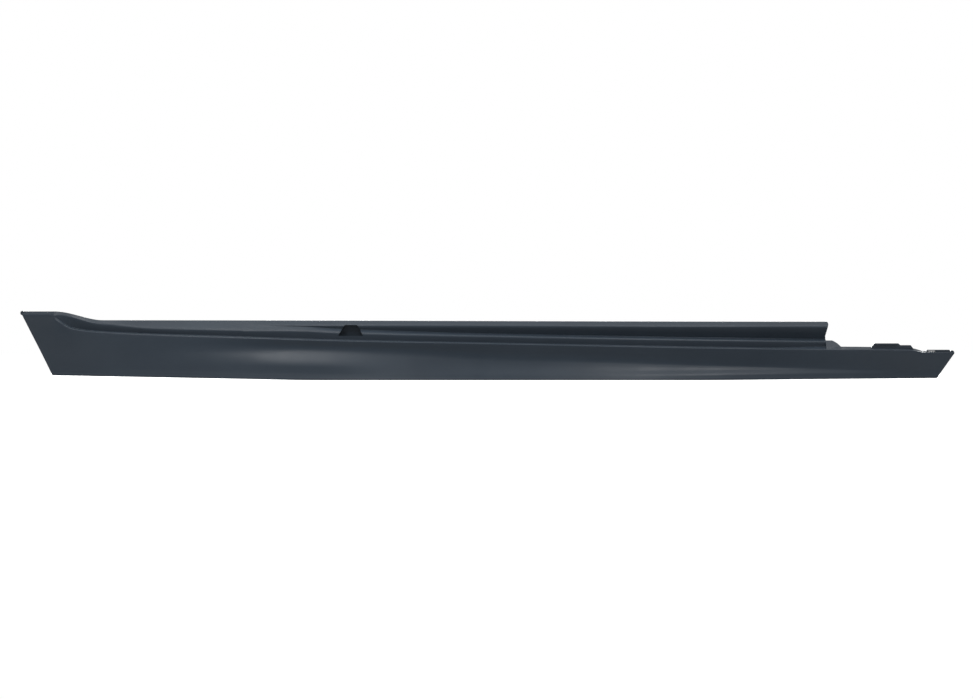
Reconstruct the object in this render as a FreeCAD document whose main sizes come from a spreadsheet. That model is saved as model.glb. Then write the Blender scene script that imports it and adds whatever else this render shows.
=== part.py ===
import FreeCAD, Part

# Car side skirt, left-hand side of a saloon, injection moulded in black
# polypropylene, with the clips and spring nuts that it carries on its back.
#
# Millimetres. X runs along the car: -X is the front end at the front wheel
# arch, +X the rear end at the rear wheel arch. -Y points away from the car and
# +Z is up. The origin is the middle of the row of screw holes in the bottom
# flange, on the flange's underside, halfway along the skirt.

import math
import os

from FreeCAD import Placement, Rotation, Vector

SIZES = [
    # The whole moulding
    ("skirt_length", 1963.0, "front tip to rear tip"),
    ("wall", 3.0, "thickness of the moulded wall"),
    ("front_height", 144.7, "top of the tall front block"),
    ("rail_height", 126.4, "top edge of the rail at its front"),
    ("rail_height_rear", 123.4, "top edge of the rail at its rear end"),
    ("edge_soft", 1.6, "set-back of the rounding along a crisp edge"),
    # Places along the length
    ("block_length", 72.0, "front tip to the end of the tall block"),
    ("swan_length", 100.0, "length of the curve from the block down to the rail"),
    ("merge_length", 291.0, "length over which strip and ledge are one slope"),
    ("parting_length", 110.0, "length over which strip and ledge part"),
    ("rear_low_length", 264.0, "rail's rear end to the rear tip"),
    ("front_slant", 27.4, "degrees that the front end leans from upright"),
    ("rear_slant", 36.3, "degrees that the rear end leans from upright"),
    ("rear_tip_height", 56.0, "height of the rear end's tip"),
    # The tall front block
    ("block_shoulder", 7.7, "height of the sloping shoulder along its top"),
    ("block_face_gap", 9.0, "first stretch of the face under the shoulder"),
    # The top edge's back line, outwards from the screw row
    ("back_block", 41.0, "on the block"),
    ("back_neck_lower", 28.5, "a third down the swan neck"),
    ("back_swan", 17.0, "at the foot of the swan neck"),
    ("back_slope", -1.0, "a hundred mm further on, where it has crossed the screw row"),
    ("back_merge", -6.0, "along the rail"),
    # The rail's top strip
    ("strip_out", 12.0, "strip's lower edge, outwards"),
    ("strip_drop", 10.8, "height of the strip"),
    ("strip_round", 4.5, "set-back of the rounding along the strip's lower edge"),
    ("drop_swan", 9.3, "height of the slope at the foot of the swan neck"),
    ("drop_slope", 17.2, "height of the slope a hundred mm further on"),
    ("drop_merge", 21.0, "height of the slope where the recess begins"),
    # The upper recess, between strip and upper ledge
    ("recess_back", 0.36, "how far its wall leans inwards for each mm of its height"),
    ("recess_merge", 0.9, "height of the recess where it begins"),
    ("recess_early", 2.8, "height a tenth of the way along the rail"),
    ("recess_quarter", 6.4, "height in front of the notch"),
    ("recess_notch", 12.0, "height behind the notch"),
    ("recess_middle", 17.2, "height near the middle"),
    ("recess_rail", 27.0, "height at the rail's rear end"),
    # The upper ledge: its fall, and its outer edge outwards from the screw row
    ("fall_quarter", 7.6, "fall of the upper ledge in front of the notch"),
    ("fall_middle", 4.4, "fall near the middle and rear"),
    ("ledge_round", 4.5, "set-back of the rounding along its outer edge"),
    ("ledge_block", 47.5, "lower edge of the block's shoulder"),
    ("ledge_neck_upper", 37.0, "a quarter down the swan neck"),
    ("ledge_neck_lower", 33.0, "a third down"),
    ("ledge_neck_low", 29.5, "over halfway down"),
    ("ledge_swan", 27.0, "at the foot of the swan neck"),
    ("ledge_merge", 24.0, "along the rail"),
    # The foot of the lower recess, outwards, and the lower ledge
    ("shelf_block", 48.7, "on the block"),
    ("shelf_neck_top", 42.0, "at the top of the swan neck"),
    ("shelf_neck_upper", 36.0, "a quarter down"),
    ("shelf_neck_lower", 30.5, "a third down"),
    ("shelf_neck_low", 26.5, "over halfway down"),
    ("shelf_swan", 25.0, "at the foot of the swan neck"),
    ("shelf_merge", 23.0, "along the rail"),
    ("shelf_behind", 40.0, "behind the rail's rear end"),
    ("rise_front", 1.6, "rise of the lower ledge towards its back"),
    ("rise_rear", 5.2, "the same behind the rail's rear end"),
    # The main face's top edge: outwards from the screw row, and its height
    ("edge_block", 49.5, "just under the block's shoulder"),
    ("edge_swan", 47.0, "at the foot of the swan neck"),
    ("edge_merge", 45.0, "where the recess begins"),
    ("edge_notch", 46.0, "at the notch"),
    ("edge_middle", 51.0, "near the middle"),
    ("edge_late", 53.5, "over halfway along the rail"),
    ("edge_last", 55.0, "three quarters along the rail"),
    ("edge_tip", 53.0, "at the rear end"),
    ("height_swan", 100.6, "height at the foot of the swan neck"),
    ("height_merge", 89.5, "height where the recess begins"),
    ("height_quarter", 83.2, "height in front of the notch"),
    ("height_middle", 76.2, "height near the middle"),
    ("height_end", 67.6, "height before the rail's rear end"),
    ("height_rail", 64.4, "height at the rail's rear end"),
    ("height_step", 62.5, "height behind the raised tab"),
    ("height_tip", 58.4, "height at the rear tip"),
    # The crease in the main face: its height
    ("crease_round", 14.0, "set-back of the crease's soft rounding"),
    ("crease_plain", 66.0, "in the plain front"),
    ("crease_merge", 67.0, "where the recess begins"),
    ("crease_early", 66.0, "a tenth of the way along the rail"),
    ("crease_notch", 60.0, "at the notch"),
    ("crease_middle", 48.0, "near the middle"),
    ("crease_late", 43.0, "over halfway along the rail"),
    ("crease_last", 35.0, "three quarters along the rail"),
    ("crease_behind", 22.0, "behind the rail, where it has faded"),
    # The crease, outwards from the screw row
    ("fold_plain", 53.5, "in the plain front"),
    ("fold_merge", 46.5, "where the recess begins"),
    ("fold_early", 41.0, "a tenth of the way along the rail"),
    ("fold_notch", 41.5, "at the notch"),
    ("fold_middle", 46.0, "near the middle"),
    ("fold_late", 47.5, "over halfway along the rail"),
    ("fold_last", 51.5, "three quarters along the rail"),
    ("fold_behind", 59.5, "behind the rail"),
    # The flare: how much of the way out to the lip it has gone halfway down
    ("belly_round", 24.0, "set-back of the rounding halfway down the flare"),
    ("belly_down", 0.55, "share of the way down from crease to lip where it is rounded"),
    ("flare_plain", 0.50, "in the plain front"),
    ("flare_merge", 0.64, "where the recess begins"),
    ("flare_early", 0.74, "a tenth of the way along the rail, where it bulges"),
    ("flare_notch", 0.56, "at the notch"),
    ("flare_middle", 0.42, "near the middle"),
    ("flare_late", 0.45, "over halfway along the rail"),
    ("flare_last", 0.38, "three quarters along the rail, where it is a scoop"),
    ("flare_behind", 0.50, "behind the rail"),
    # The lip: outwards from the screw row, and its height
    ("lip_round", 4.0, "set-back of the lip's rounding"),
    ("lip_out_swan", 62.5, "at the foot of the swan neck"),
    ("lip_out", 66.5, "along the rail"),
    ("lip_out_behind", 64.0, "behind the rail"),
    ("lip_out_tip", 62.0, "at the rear end"),
    ("lip_swan", 24.0, "height at the foot of the swan neck"),
    ("lip_merge", 16.85, "height where the recess begins"),
    ("lip_middle", 9.7, "height at the middle"),
    ("lip_rear", 15.0, "height at the rear"),
    ("foot_out", 4.0, "bottom corner, outwards from the lip"),
    ("foot_round", 1.2, "set-back of the bottom corner's rounding"),
    # The bottom flange
    ("flat_front", 350.0, "flat underside, forwards from the middle"),
    ("flat_rear", 430.0, "flat underside, rearwards from the middle"),
    ("rise_start", 60.0, "length over which the underside starts to rise"),
    ("front_rise", 11.4, "rise of the underside at the front corner"),
    ("rear_rise", 4.6, "rise of the underside at the rear corner"),
    ("flange_in", 24.0, "inner edge of the bottom flange, inwards"),
    ("flange_lip", 9.0, "height of the flange's upturned edge"),
    ("flange_round", 2.4, "set-back of the rounding under that edge"),
    # Screw holes in the bottom flange
    ("screw_pitch", 240.0, "spacing of the screw holes"),
    ("screw_hole", 7.0, "diameter of a screw hole"),
    ("screw_margin", 60.0, "least distance of a screw hole from an end's foot"),
    ("screw_pad", 18.0, "diameter of the raised pad round a screw hole"),
    ("screw_pad_rise", 1.2, "height of that pad above the flange"),
    # Ribs behind the wall
    ("rib_pitch", 170.0, "spacing of the stiffening ribs"),
    ("rib_thick", 2.0, "thickness of a rib"),
    ("rib_margin", 30.0, "least distance of a lip rib from an end's foot"),
    ("rib_reach", 22.0, "how far a lip rib reaches inwards from the lip"),
    ("rib_height", 26.0, "height of a lip rib above the underside"),
    ("rib_slant", 12.0, "how far its free edge leans back towards its top"),
    # Flanges that close the slanted ends
    ("end_flange", 3.0, "thickness of an end flange"),
    ("end_reach", 40.5, "how far an end flange reaches inwards from the face"),
    ("lug_radius", 4.6, "radius of the lug at each end's tip"),
    ("lug_width", 12.0, "width of that lug"),
    ("lug_above", 0.8, "how far the front lug stands above the block's top"),
    ("rear_lug_above", 1.8, "middle of the rear lug above the rear end's tip"),
    # Notch in the rail for the jacking tool
    ("notch_x", 287.5, "middle of the notch, forwards from the middle"),
    ("notch_foot", 52.0, "width of the notch at its foot"),
    ("notch_shoulder", 38.0, "width at its shoulders"),
    ("notch_top", 26.0, "width at its top"),
    ("notch_low", 93.0, "height of its foot"),
    ("notch_mid", 107.0, "height of its shoulders"),
    ("notch_high", 116.0, "height of its top"),
    ("notch_back", 6.0, "back wall of the notch, inwards"),
    # Seats for the clips, behind the rail
    ("clip_pitch", 190.0, "spacing of the clips"),
    ("clip_row", -25.0, "middle of the clip row along the skirt"),
    ("clip_height", 103.0, "height of the clip row"),
    ("seat_width", 28.0, "width of a clip seat"),
    ("seat_height", 22.0, "height of a clip seat"),
    ("seat_face", 24.0, "mounting face of a seat, inwards"),
    ("seat_room", 9.0, "hollow in front of a clip's inner disc"),
    ("seat_plate", 2.5, "thickness of the plate that holds the clip"),
    ("seat_wall", 2.2, "thickness of a seat's cheeks and floor"),
    ("seat_slot", 7.6, "width of the slot that takes the clip's neck"),
    # Clips
    ("clip_neck", 7.0, "diameter of a clip's neck"),
    ("clip_disc", 16.0, "diameter of its two discs"),
    ("clip_disc_thick", 1.6, "thickness of a disc"),
    ("clip_stem", 5.6, "diameter of the stem"),
    ("clip_barb", 9.0, "diameter over the barbs"),
    ("clip_taper", 0.6, "how much smaller the second barb's radius is"),
    ("clip_reach", 15.0, "length of the stem past the outer disc"),
    # Spring nuts on the end flanges
    ("nut_width", 14.0, "width of a spring nut"),
    ("nut_length", 17.0, "how far a spring nut reaches over the flange"),
    ("nut_sheet", 0.8, "sheet thickness of a spring nut"),
    ("nut_play", 0.05, "play between a spring nut and the flange"),
    ("nut_collar", 9.0, "diameter of its threaded collar"),
    ("nut_collar_edge", 2.5, "sheet past the collar, towards the free end"),
    ("nut_collar_rise", 3.0, "height of that collar"),
    ("nut_bore", 4.8, "bore of that collar"),
    ("nut_hole", 6.5, "hole in the end flange behind a spring nut"),
    ("nut_low", 46.0, "height of the front end's lower spring nut"),
    ("nut_high", 102.0, "height of the front end's upper spring nut"),
    ("nut_rear", 33.0, "height of the rear end's spring nut"),
    # The rail's rear end
    ("rail_corner", 4.0, "chamfer at the top of the rail's end"),
    ("rail_cap", 7.0, "height of the chamfer and the upright stretch under it"),
    ("rail_cap_past", 3.0, "how far that stretch stands past the rail's end"),
    ("rail_lean", 24.0, "height over which the end leans forwards under it"),
    ("rail_lean_back", 6.5, "how far it leans"),
    ("rail_foot_in", 1.5, "foot of the rail's end, in front of the rail's end"),
    # The low rear part: web, raised tab with its pocket and step, and strap
    ("ramp_start", 4.0, "how far the curved web starts in front of the rail's end"),
    ("ramp_length", 28.0, "length of that web behind the rail's end"),
    ("ramp_height", 19.0, "height of that web over the main face's edge"),
    ("ramp_crown", 0.42, "share of the web's length that is level"),
    ("tab_front", 174.0, "front of the raised tab, from the rear tip"),
    ("tab_length", 61.0, "length of the raised tab"),
    ("tab_chamfer", 7.0, "length of the slant at the tab's front"),
    ("tab_rise", 13.5, "height of the tab over the main face's edge"),
    ("tab_step", 27.0, "length of the tab's lower rear step"),
    ("tab_step_rise", 9.8, "height of that step over the main face's edge"),
    ("tab_out", 45.0, "front of the tab's wall, outwards"),
    ("tab_depth", 14.0, "depth of the tab's top"),
    ("pocket_length", 46.0, "length of the shallow pocket in the tab's face"),
    ("pocket_height", 4.4, "height of that pocket"),
    ("pocket_depth", 1.2, "depth of that pocket"),
    ("step_start", 95.0, "where the main face's edge steps down, from the rear tip"),
    ("step_end", 66.0, "where it is down, from the rear tip"),
    ("strap_front", 58.0, "front of the strap, from the rear tip"),
    ("strap_length", 50.5, "length of strap and step together"),
    ("strap_width", 10.0, "width of the strap"),
    ("strap_rise", 5.4, "height of the strap's top over the main face's edge"),
    ("strap_thick", 2.2, "thickness of the strap"),
    ("strap_post", 2.5, "thickness of the post in front of the gap"),
    ("strap_gap", 16.0, "length of the gap under the strap"),
    ("corner_cut", 3.0, "chamfer at the strap's rear end"),
]

doc = FreeCAD.newDocument("side_skirt")
sheet = doc.addObject("Spreadsheet::Sheet", "Sizes")
for row, (alias, value, note) in enumerate(SIZES, start=1):
    sheet.set(f"A{row}", str(value))
    sheet.setAlias(f"A{row}", alias)
    sheet.set(f"B{row}", note)
doc.recompute()


def size(alias):
    """The value of one cell of the sheet."""
    return float(sheet.get(alias))


# Ends of the stretches along the skirt
X_FRONT = -size("skirt_length") / 2
X_REAR = size("skirt_length") / 2
X_BLOCK = X_FRONT + size("block_length")
X_SWAN = X_BLOCK + size("swan_length")
X_MERGE = X_SWAN + size("merge_length")
X_RAIL = X_REAR - size("rear_low_length")
OVERRUN = 25.0                  # the section runs past both ends, which are cut to their slant
BELOW = -20.0                   # a height under the whole skirt
ABOVE = size("front_height") + 30
END_TAN_FRONT = math.tan(math.radians(size("front_slant")))
END_TAN_REAR = math.tan(math.radians(size("rear_slant")))

# Places that the lines of the section hang on: on the swan neck as shares of its length,
# along the rail as shares of the stretch from the start of the recess to the rail's rear end
PLACES = {"block": X_BLOCK, "swan": X_SWAN, "plain": X_SWAN + 60, "slope": X_SWAN + 100, "merge": X_MERGE,
          "rail": X_RAIL, "behind": X_RAIL + 60, "fair": X_REAR - 110,
          "step": X_REAR - size("step_start"), "tip": X_REAR - size("step_end")}
for place, share in (("neck_top", 0.12), ("neck_upper", 0.24), ("neck_lower", 0.36), ("neck_low", 0.58)):
    PLACES[place] = X_BLOCK + share * size("swan_length")
for place, share in (("early", 0.102), ("quarter", 0.153), ("notch", 0.27), ("middle", 0.444),
                     ("late", 0.614), ("last", 0.785), ("end", 0.80)):
    PLACES[place] = X_MERGE + share * (X_RAIL - X_MERGE)


def line(kind, names):
    """Points of one line of the section: its sizes at the named places."""
    return [(PLACES[name], size(f"{kind}_{name}")) for name in names.split()]


def curve(points, x):
    """Smooth curve through the points, with no overshoot between two of them."""
    if x <= points[0][0]:
        return points[0][1]
    if x >= points[-1][0]:
        return points[-1][1]
    gaps = [b[0] - a[0] for a, b in zip(points, points[1:])]
    slopes = [(b[1] - a[1]) / g for a, b, g in zip(points, points[1:], gaps)]
    tangents = [slopes[0]]
    for before, after, g0, g1 in zip(slopes, slopes[1:], gaps, gaps[1:]):
        if before * after <= 0:
            tangents.append(0.0)
        else:
            w0, w1 = 2 * g1 + g0, g1 + 2 * g0
            tangents.append((w0 + w1) / (w0 / before + w1 / after))
    tangents.append(slopes[-1])
    i = max(k for k in range(len(gaps)) if points[k][0] <= x)
    u = (x - points[i][0]) / gaps[i]
    a, b = points[i][1], points[i + 1][1]
    m0, m1 = tangents[i] * gaps[i], tangents[i + 1] * gaps[i]
    return (a * (1 + 2 * u) * (1 - u) ** 2 + b * u * u * (3 - 2 * u)
            + m0 * u * (1 - u) ** 2 - m1 * u * u * (1 - u))


def ease(u):
    """0 before 0, 1 after 1, and a smooth step between."""
    u = min(max(u, 0.0), 1.0)
    return u * u * (3 - 2 * u)


def mix(a, b, u):
    return a + (b - a) * u


def underside(x):
    """Height of the underside: flat in the middle, rising a little to both ends."""
    soft = size("rise_start")
    rise, length = size("rear_rise"), X_REAR - size("flat_rear")
    past = x - size("flat_rear")
    if x < 0:
        rise, length = size("front_rise"), -X_FRONT - size("flat_front")
        past = -x - size("flat_front")
    if past <= 0:
        return 0.0
    steep = rise / (length - soft / 2)
    return steep * (past ** 2 / (2 * soft) if past < soft else past - soft / 2)


def top_edge(x):
    """Height of the top edge: the block, the swan neck and the nearly level rail."""
    level = mix(size("rail_height"), size("rail_height_rear"), ease((x - X_SWAN) / (X_RAIL - X_SWAN)))
    return mix(size("front_height"), level, ease((x - X_BLOCK) / size("swan_length")))


def slope_drop(x):
    """Fall of the slope that strip and upper ledge make together in front of the recess."""
    return curve([(X_BLOCK, size("block_shoulder"))] + line("drop", "swan slope merge"), x)


def recess_height(x):
    return curve(line("recess", "merge early quarter notch middle rail"), x)


def ledge_fall(x):
    start = (X_MERGE, size("drop_merge") - size("strip_drop"))
    return curve([start] + line("fall", "quarter middle"), x)


def edge_height(x):
    """Height of the main face's top edge, which dives away from the block's shoulder."""
    start = size("front_height") - size("block_shoulder") - size("block_face_gap")
    dive = start - size("height_swan")
    neck = [(PLACES[name], start - share * dive) for name, share in
            (("block", 0), ("neck_top", 0.22), ("neck_upper", 0.51), ("neck_lower", 0.70), ("neck_low", 0.86))]
    return curve(neck + line("height", "swan merge quarter middle end rail step tip"), x)


def shelf_rise(x):
    """Rise of the lower ledge from the main face's edge to the ledge's back."""
    front, rear = size("rise_front"), size("rise_rear")
    return curve([(X_BLOCK, size("block_face_gap") / 2), (PLACES["neck_upper"], front),
                  (PLACES["end"] + 100, front), (X_RAIL, rear), (PLACES["step"], rear),
                  (PLACES["tip"], front)], x)


def shelf_out(x):
    """How far out the foot of the lower recess lies."""
    points = line("shelf", "block neck_top neck_upper neck_lower neck_low swan merge")
    return curve(points + [(X_RAIL - 10, size("shelf_merge")), (X_RAIL + 40, size("shelf_behind"))], x)


def upper_corners(x):
    """Corners from the top edge over the strip, the recess and the upper ledge to the shelf.

    Strip and ledge are one slope in front of the recess and part from each other behind it.
    """
    top = top_edge(x)
    crisp = size("edge_soft")
    back_y = -curve(line("back", "block neck_lower swan slope merge"), x)
    ledge_y = -curve(line("ledge", "block neck_upper neck_lower neck_low swan merge"), x)
    parted = ease((x - X_MERGE) / size("parting_length"))
    drop = slope_drop(x)
    above, below = 0.49, 0.54
    strip_y = mix(mix(back_y, ledge_y, above), -size("strip_out"), parted)
    strip_z = top - mix(above * drop, size("strip_drop"), ease((x - X_MERGE + 40) / 40))
    wall_y = size("recess_back") * recess_height(x) - size("strip_out")
    recess_y = mix(mix(back_y, ledge_y, below), wall_y, parted)
    recess_z = top - below * drop
    ledge_z = top - drop
    if x > X_MERGE:
        recess_z = strip_z - recess_height(x)
        ledge_z = recess_z - ledge_fall(x)
    return [(back_y, top, 0.0),
            (strip_y, strip_z, size("strip_round")),
            (recess_y, recess_z, crisp),
            (ledge_y, ledge_z, size("ledge_round")),
            (-shelf_out(x), edge_height(x) + shelf_rise(x), crisp)]


def lower_corners(x):
    """Corners from the main face's edge over crease, flare and lip round to the flange.

    The crease fades out into a plain face at the front and runs into the lip at the rear.
    The flare bulges out early at the front and late at the rear, where it is a scoop.
    """
    low = underside(x)
    edge_y = -curve(line("edge", "block swan merge notch middle late last")
                    + [(PLACES["fair"], size("edge_tip"))], x)
    lip_z = curve(line("lip", "swan merge") + [(PLACES["notch"] + 60, size("lip_middle")),
                                               (PLACES["late"], size("lip_middle")),
                                               (X_RAIL - 37, size("lip_rear"))], x)
    lip_y = -curve([(X_SWAN, size("lip_out_swan")), (PLACES["notch"] + 37, size("lip_out")),
                    (PLACES["late"] + 106, size("lip_out")), (PLACES["behind"], size("lip_out_behind")),
                    (PLACES["fair"], size("lip_out_tip"))], x)
    stretch = "plain merge early notch middle late last behind"
    crease_z = curve(line("crease", stretch), x)
    crease_y = -curve(line("fold", stretch), x)
    belly_y = mix(crease_y, lip_y, curve(line("flare", stretch), x))
    belly_z = mix(crease_z, lip_z, size("belly_down"))
    inner_y = size("flange_in")
    return [(edge_y, edge_height(x), size("edge_soft")),
            (crease_y, crease_z, size("crease_round")),
            (belly_y, belly_z, size("belly_round")),
            (lip_y, lip_z, size("lip_round")),
            (lip_y - size("foot_out"), low, size("foot_round")),
            (inner_y, low, size("flange_round")),
            (inner_y, low + size("flange_lip"), 0.0)]


def corners(x):
    """Outer corners of the section at x, each as (y, z, set-back of its rounding)."""
    return upper_corners(x) + lower_corners(x)


def offset(points, depth):
    """The same corners moved inwards by a depth, square to both sides of each corner."""
    moved = []
    for i, (y, z, soft) in enumerate(points):
        before = points[max(i - 1, 0)]
        after = points[min(i + 1, len(points) - 1)]
        sides = []
        for a, b in ((before, (y, z)), ((y, z), after)):
            run, rise = b[0] - a[0], b[1] - a[1]
            length = math.hypot(run, rise)
            if length > 0:
                sides.append((-rise / length, run / length))
        ny = sum(s[0] for s in sides)
        nz = sum(s[1] for s in sides)
        scale = depth * len(sides) / (ny * ny + nz * nz)
        moved.append((y + ny * scale, z + nz * scale, soft))
    return moved


def rounded(points, x):
    """Edges through the points in the plane at x, each inner corner rounded by a short curve."""
    edges = []
    most = 0.42                 # share of a side that one corner's rounding may take
    start = Vector(x, points[0][0], points[0][1])
    for before, here, after in zip(points, points[1:], points[2:]):
        corner = Vector(x, here[0], here[1])
        to_before = Vector(x, before[0], before[1]) - corner
        to_after = Vector(x, after[0], after[1]) - corner
        near = min(here[2], most * to_before.Length)
        far = min(here[2], most * to_after.Length)
        enter = corner + to_before.normalize() * near
        leave = corner + to_after.normalize() * far
        edges.append(Part.LineSegment(start, enter).toShape())
        bend = Part.BezierCurve()
        bend.setPoles([enter, corner, leave])
        edges.append(bend.toShape())
        start = leave
    edges.append(Part.LineSegment(start, Vector(x, points[-1][0], points[-1][1])).toShape())
    return edges


def section(x):
    """Closed outline of the thin wall at x."""
    outside = corners(x)
    inside = offset(outside, size("wall"))
    inside.reverse()
    edges = rounded(outside, x)
    turn = Part.LineSegment(edges[-1].Vertexes[-1].Point, Vector(x, inside[0][0], inside[0][1]))
    back = Part.LineSegment(Vector(x, inside[-1][0], inside[-1][1]), edges[0].Vertexes[0].Point)
    return Part.Wire(edges + [turn.toShape()] + rounded(inside, x) + [back.toShape()])


def filling(x):
    """Outline of what lies behind the wall at x, from the middle of the wall inwards."""
    middle = offset(corners(x), size("wall") / 2)
    edges = rounded(middle, x)
    close = Part.LineSegment(edges[-1].Vertexes[-1].Point, edges[0].Vertexes[0].Point)
    return Part.Wire(edges + [close.toShape()])


def span(outline, x_from, x_to, pitch):
    """Surfaces through the outlines at evenly spaced places from x_from to x_to.

    Even spacing and degree 2 keep them from swinging out between the outlines.
    """
    count = max(4, round((x_to - x_from) / pitch))
    wires = [outline(mix(x_from, x_to, i / count)) for i in range(count + 1)]
    return Part.makeLoft(wires, False, False, False, 2).Faces


def feature(name, shape):
    """A document object that holds a shape worked out from the sheet's sizes."""
    made = doc.addObject("Part::Feature", name)
    made.Shape = shape
    return made


def prism(name, outline, y_from, y_to):
    """A block with the given (x, z) outline, from one depth to another."""
    wire = Part.makePolygon([Vector(x, y_from, z) for x, z in outline + outline[:1]])
    return feature(name, Part.Face(wire).extrude(Vector(0, y_to - y_from, 0)))


def box(name, length, width, height, place):
    """A box whose sides are given as expressions on the sheet, at a place."""
    made = doc.addObject("Part::Box", name)
    made.setExpression("Length", length)
    made.setExpression("Width", width)
    made.setExpression("Height", height)
    made.Placement = Placement(Vector(*place), Rotation())
    return made


def fused(name, shapes):
    made = doc.addObject("Part::MultiFuse", name)
    made.Shapes = shapes
    return made


def common(name, shapes):
    made = doc.addObject("Part::MultiCommon", name)
    made.Shapes = shapes
    return made


def cut(name, base, tool):
    made = doc.addObject("Part::Cut", name)
    made.Base = base
    made.Tool = tool
    return made


def carried(name, outline):
    """A solid with the outline carried along the skirt, in three spans whose outlines are
    closer together where the form changes fast: the swan neck and the low rear end."""
    front, neck, rear, end = X_FRONT - OVERRUN, X_SWAN + 30, X_RAIL - 20, X_REAR + OVERRUN
    close, wide, medium = 7.5, 46, 14
    faces = span(outline, front, neck, close) + span(outline, neck, rear, wide)
    faces += span(outline, rear, end, medium)
    faces += [Part.Face(outline(front)), Part.Face(outline(end))]
    shell = Part.Shell(faces)
    shell.sewShape()
    solid = Part.Solid(Part.Shell(shell.Faces))
    if solid.Volume < 0:
        solid.reverse()
    return feature(name, solid)


def end_blade(name, x_low, tangent, thickness, y_from, y_to):
    """A slab that follows a slanted end; its thickness runs along X from the end's line.

    x_low is where the line crosses the height zero, and tangent its run for each mm of rise.
    """
    foot, head = x_low + tangent * BELOW, x_low + tangent * ABOVE
    return prism(name, [(foot, BELOW), (head, ABOVE), (head + thickness, ABOVE), (foot + thickness, BELOW)],
                 y_from, y_to)


def trapezoid(grow):
    """The notch's outline in x and z, grown outwards by a margin."""
    x = -size("notch_x")
    foot, shoulder, top = (size(k) / 2 + grow for k in ("notch_foot", "notch_shoulder", "notch_top"))
    low, mid, high = size("notch_low") - grow, size("notch_mid"), size("notch_high") + grow
    return [(x - foot, low), (x + foot, low), (x + shoulder, mid), (x + top, high),
            (x - top, high), (x - shoulder, mid)]


def spread(pitch, first, last):
    """Evenly spaced places on both sides of the middle, between two limits."""
    return [k * pitch for k in range(math.ceil(first / pitch), math.floor(last / pitch) + 1)]


# Lines of the slanted ends: x at height zero
FRONT_FOOT = X_FRONT + size("front_height") * END_TAN_FRONT
REAR_FOOT = X_REAR - size("rear_tip_height") * END_TAN_REAR
END_EDGE = size("end_reach") - size("lip_out_swan")     # inner edge of the end flanges, in y
PLATE_FRONT = size("seat_face") - size("seat_plate")    # front of the clip seats' plates, in y
DEEP = 120.0                    # half the width of the blocks that cut across the whole section
FAR = 300.0                     # length of the blocks that cut the ends off
MERGED = 1.5                    # how far a piece reaches into the wall that it grows from
CLEAR = 3.0                     # how far a cutting tool stands out of what it cuts
CLIP_COUNT = 8

skin = carried("skin", section)
core = carried("core", filling)


def end_flanges():
    """The walls that close both slanted ends, from the face inwards."""
    reach = -DEEP, END_EDGE
    thick = size("end_flange") / math.cos(math.radians(size("front_slant")))
    front = end_blade("front_blade", FRONT_FOOT, -END_TAN_FRONT, thick, *reach)
    thick = size("end_flange") / math.cos(math.radians(size("rear_slant")))
    rear = end_blade("rear_blade", REAR_FOOT - thick, END_TAN_REAR, thick, *reach)
    return [front, rear]


def lip_ribs():
    """Small gussets in the corner between face and bottom flange."""
    ribs = []
    y_inner = -size("lip_out") + size("rib_reach")
    margin = size("rib_margin")
    for i, x in enumerate(spread(size("rib_pitch"), FRONT_FOOT + margin, REAR_FOOT - margin)):
        low = underside(x)
        foot, step, high = low - CLEAR, low + size("wall") + 1, low + size("rib_height")
        outline = [(-DEEP, foot), (y_inner, foot), (y_inner, step), (y_inner - size("rib_slant"), high),
                   (-DEEP, high)]
        wire = Part.makePolygon([Vector(x, y, z) for y, z in outline + outline[:1]])
        ribs.append(feature(f"lip_rib_{i}", Part.Face(wire).extrude(Vector(size("rib_thick"), 0, 0))))
    return ribs


def rail_ribs():
    """Webs under the rail that tie the two ledges together from behind.

    They stand halfway between two lip ribs, and the last one in front of the rail's end.
    """
    ribs = []
    half = size("rib_pitch") / 2
    for i, x in enumerate(spread(size("rib_pitch"), X_MERGE + 20, X_RAIL - 20 - half)):
        place = (x + half, -size("lip_out"), edge_height(x) - 10)
        ribs.append(box(f"rail_rib_{i}", "Sizes.rib_thick", "Sizes.lip_out - 5", "Sizes.rail_height", place))
    return ribs


def seat_places():
    half = (CLIP_COUNT - 1) / 2
    return [size("clip_row") + (i - half) * size("clip_pitch") for i in range(CLIP_COUNT)]


def clip_seats():
    """Blocks behind the rail: the part in front of the back line, and the part past it."""
    inner, outer = [], []
    behind = 2 * CLEAR          # depth of the part that the wall's hollow trims
    for i, x in enumerate(seat_places()):
        corner_x = x - size("seat_width") / 2
        corner_z = size("clip_height") - size("seat_height") / 2
        inner.append(box(f"seat_root_{i}", "Sizes.seat_width", f"{DEEP}", "Sizes.seat_height",
                         (corner_x, behind - DEEP, corner_z)))
        outer.append(box(f"seat_block_{i}", "Sizes.seat_width", f"Sizes.seat_face - {CLEAR}",
                         "Sizes.seat_height", (corner_x, CLEAR, corner_z)))
    return inner, outer


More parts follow.
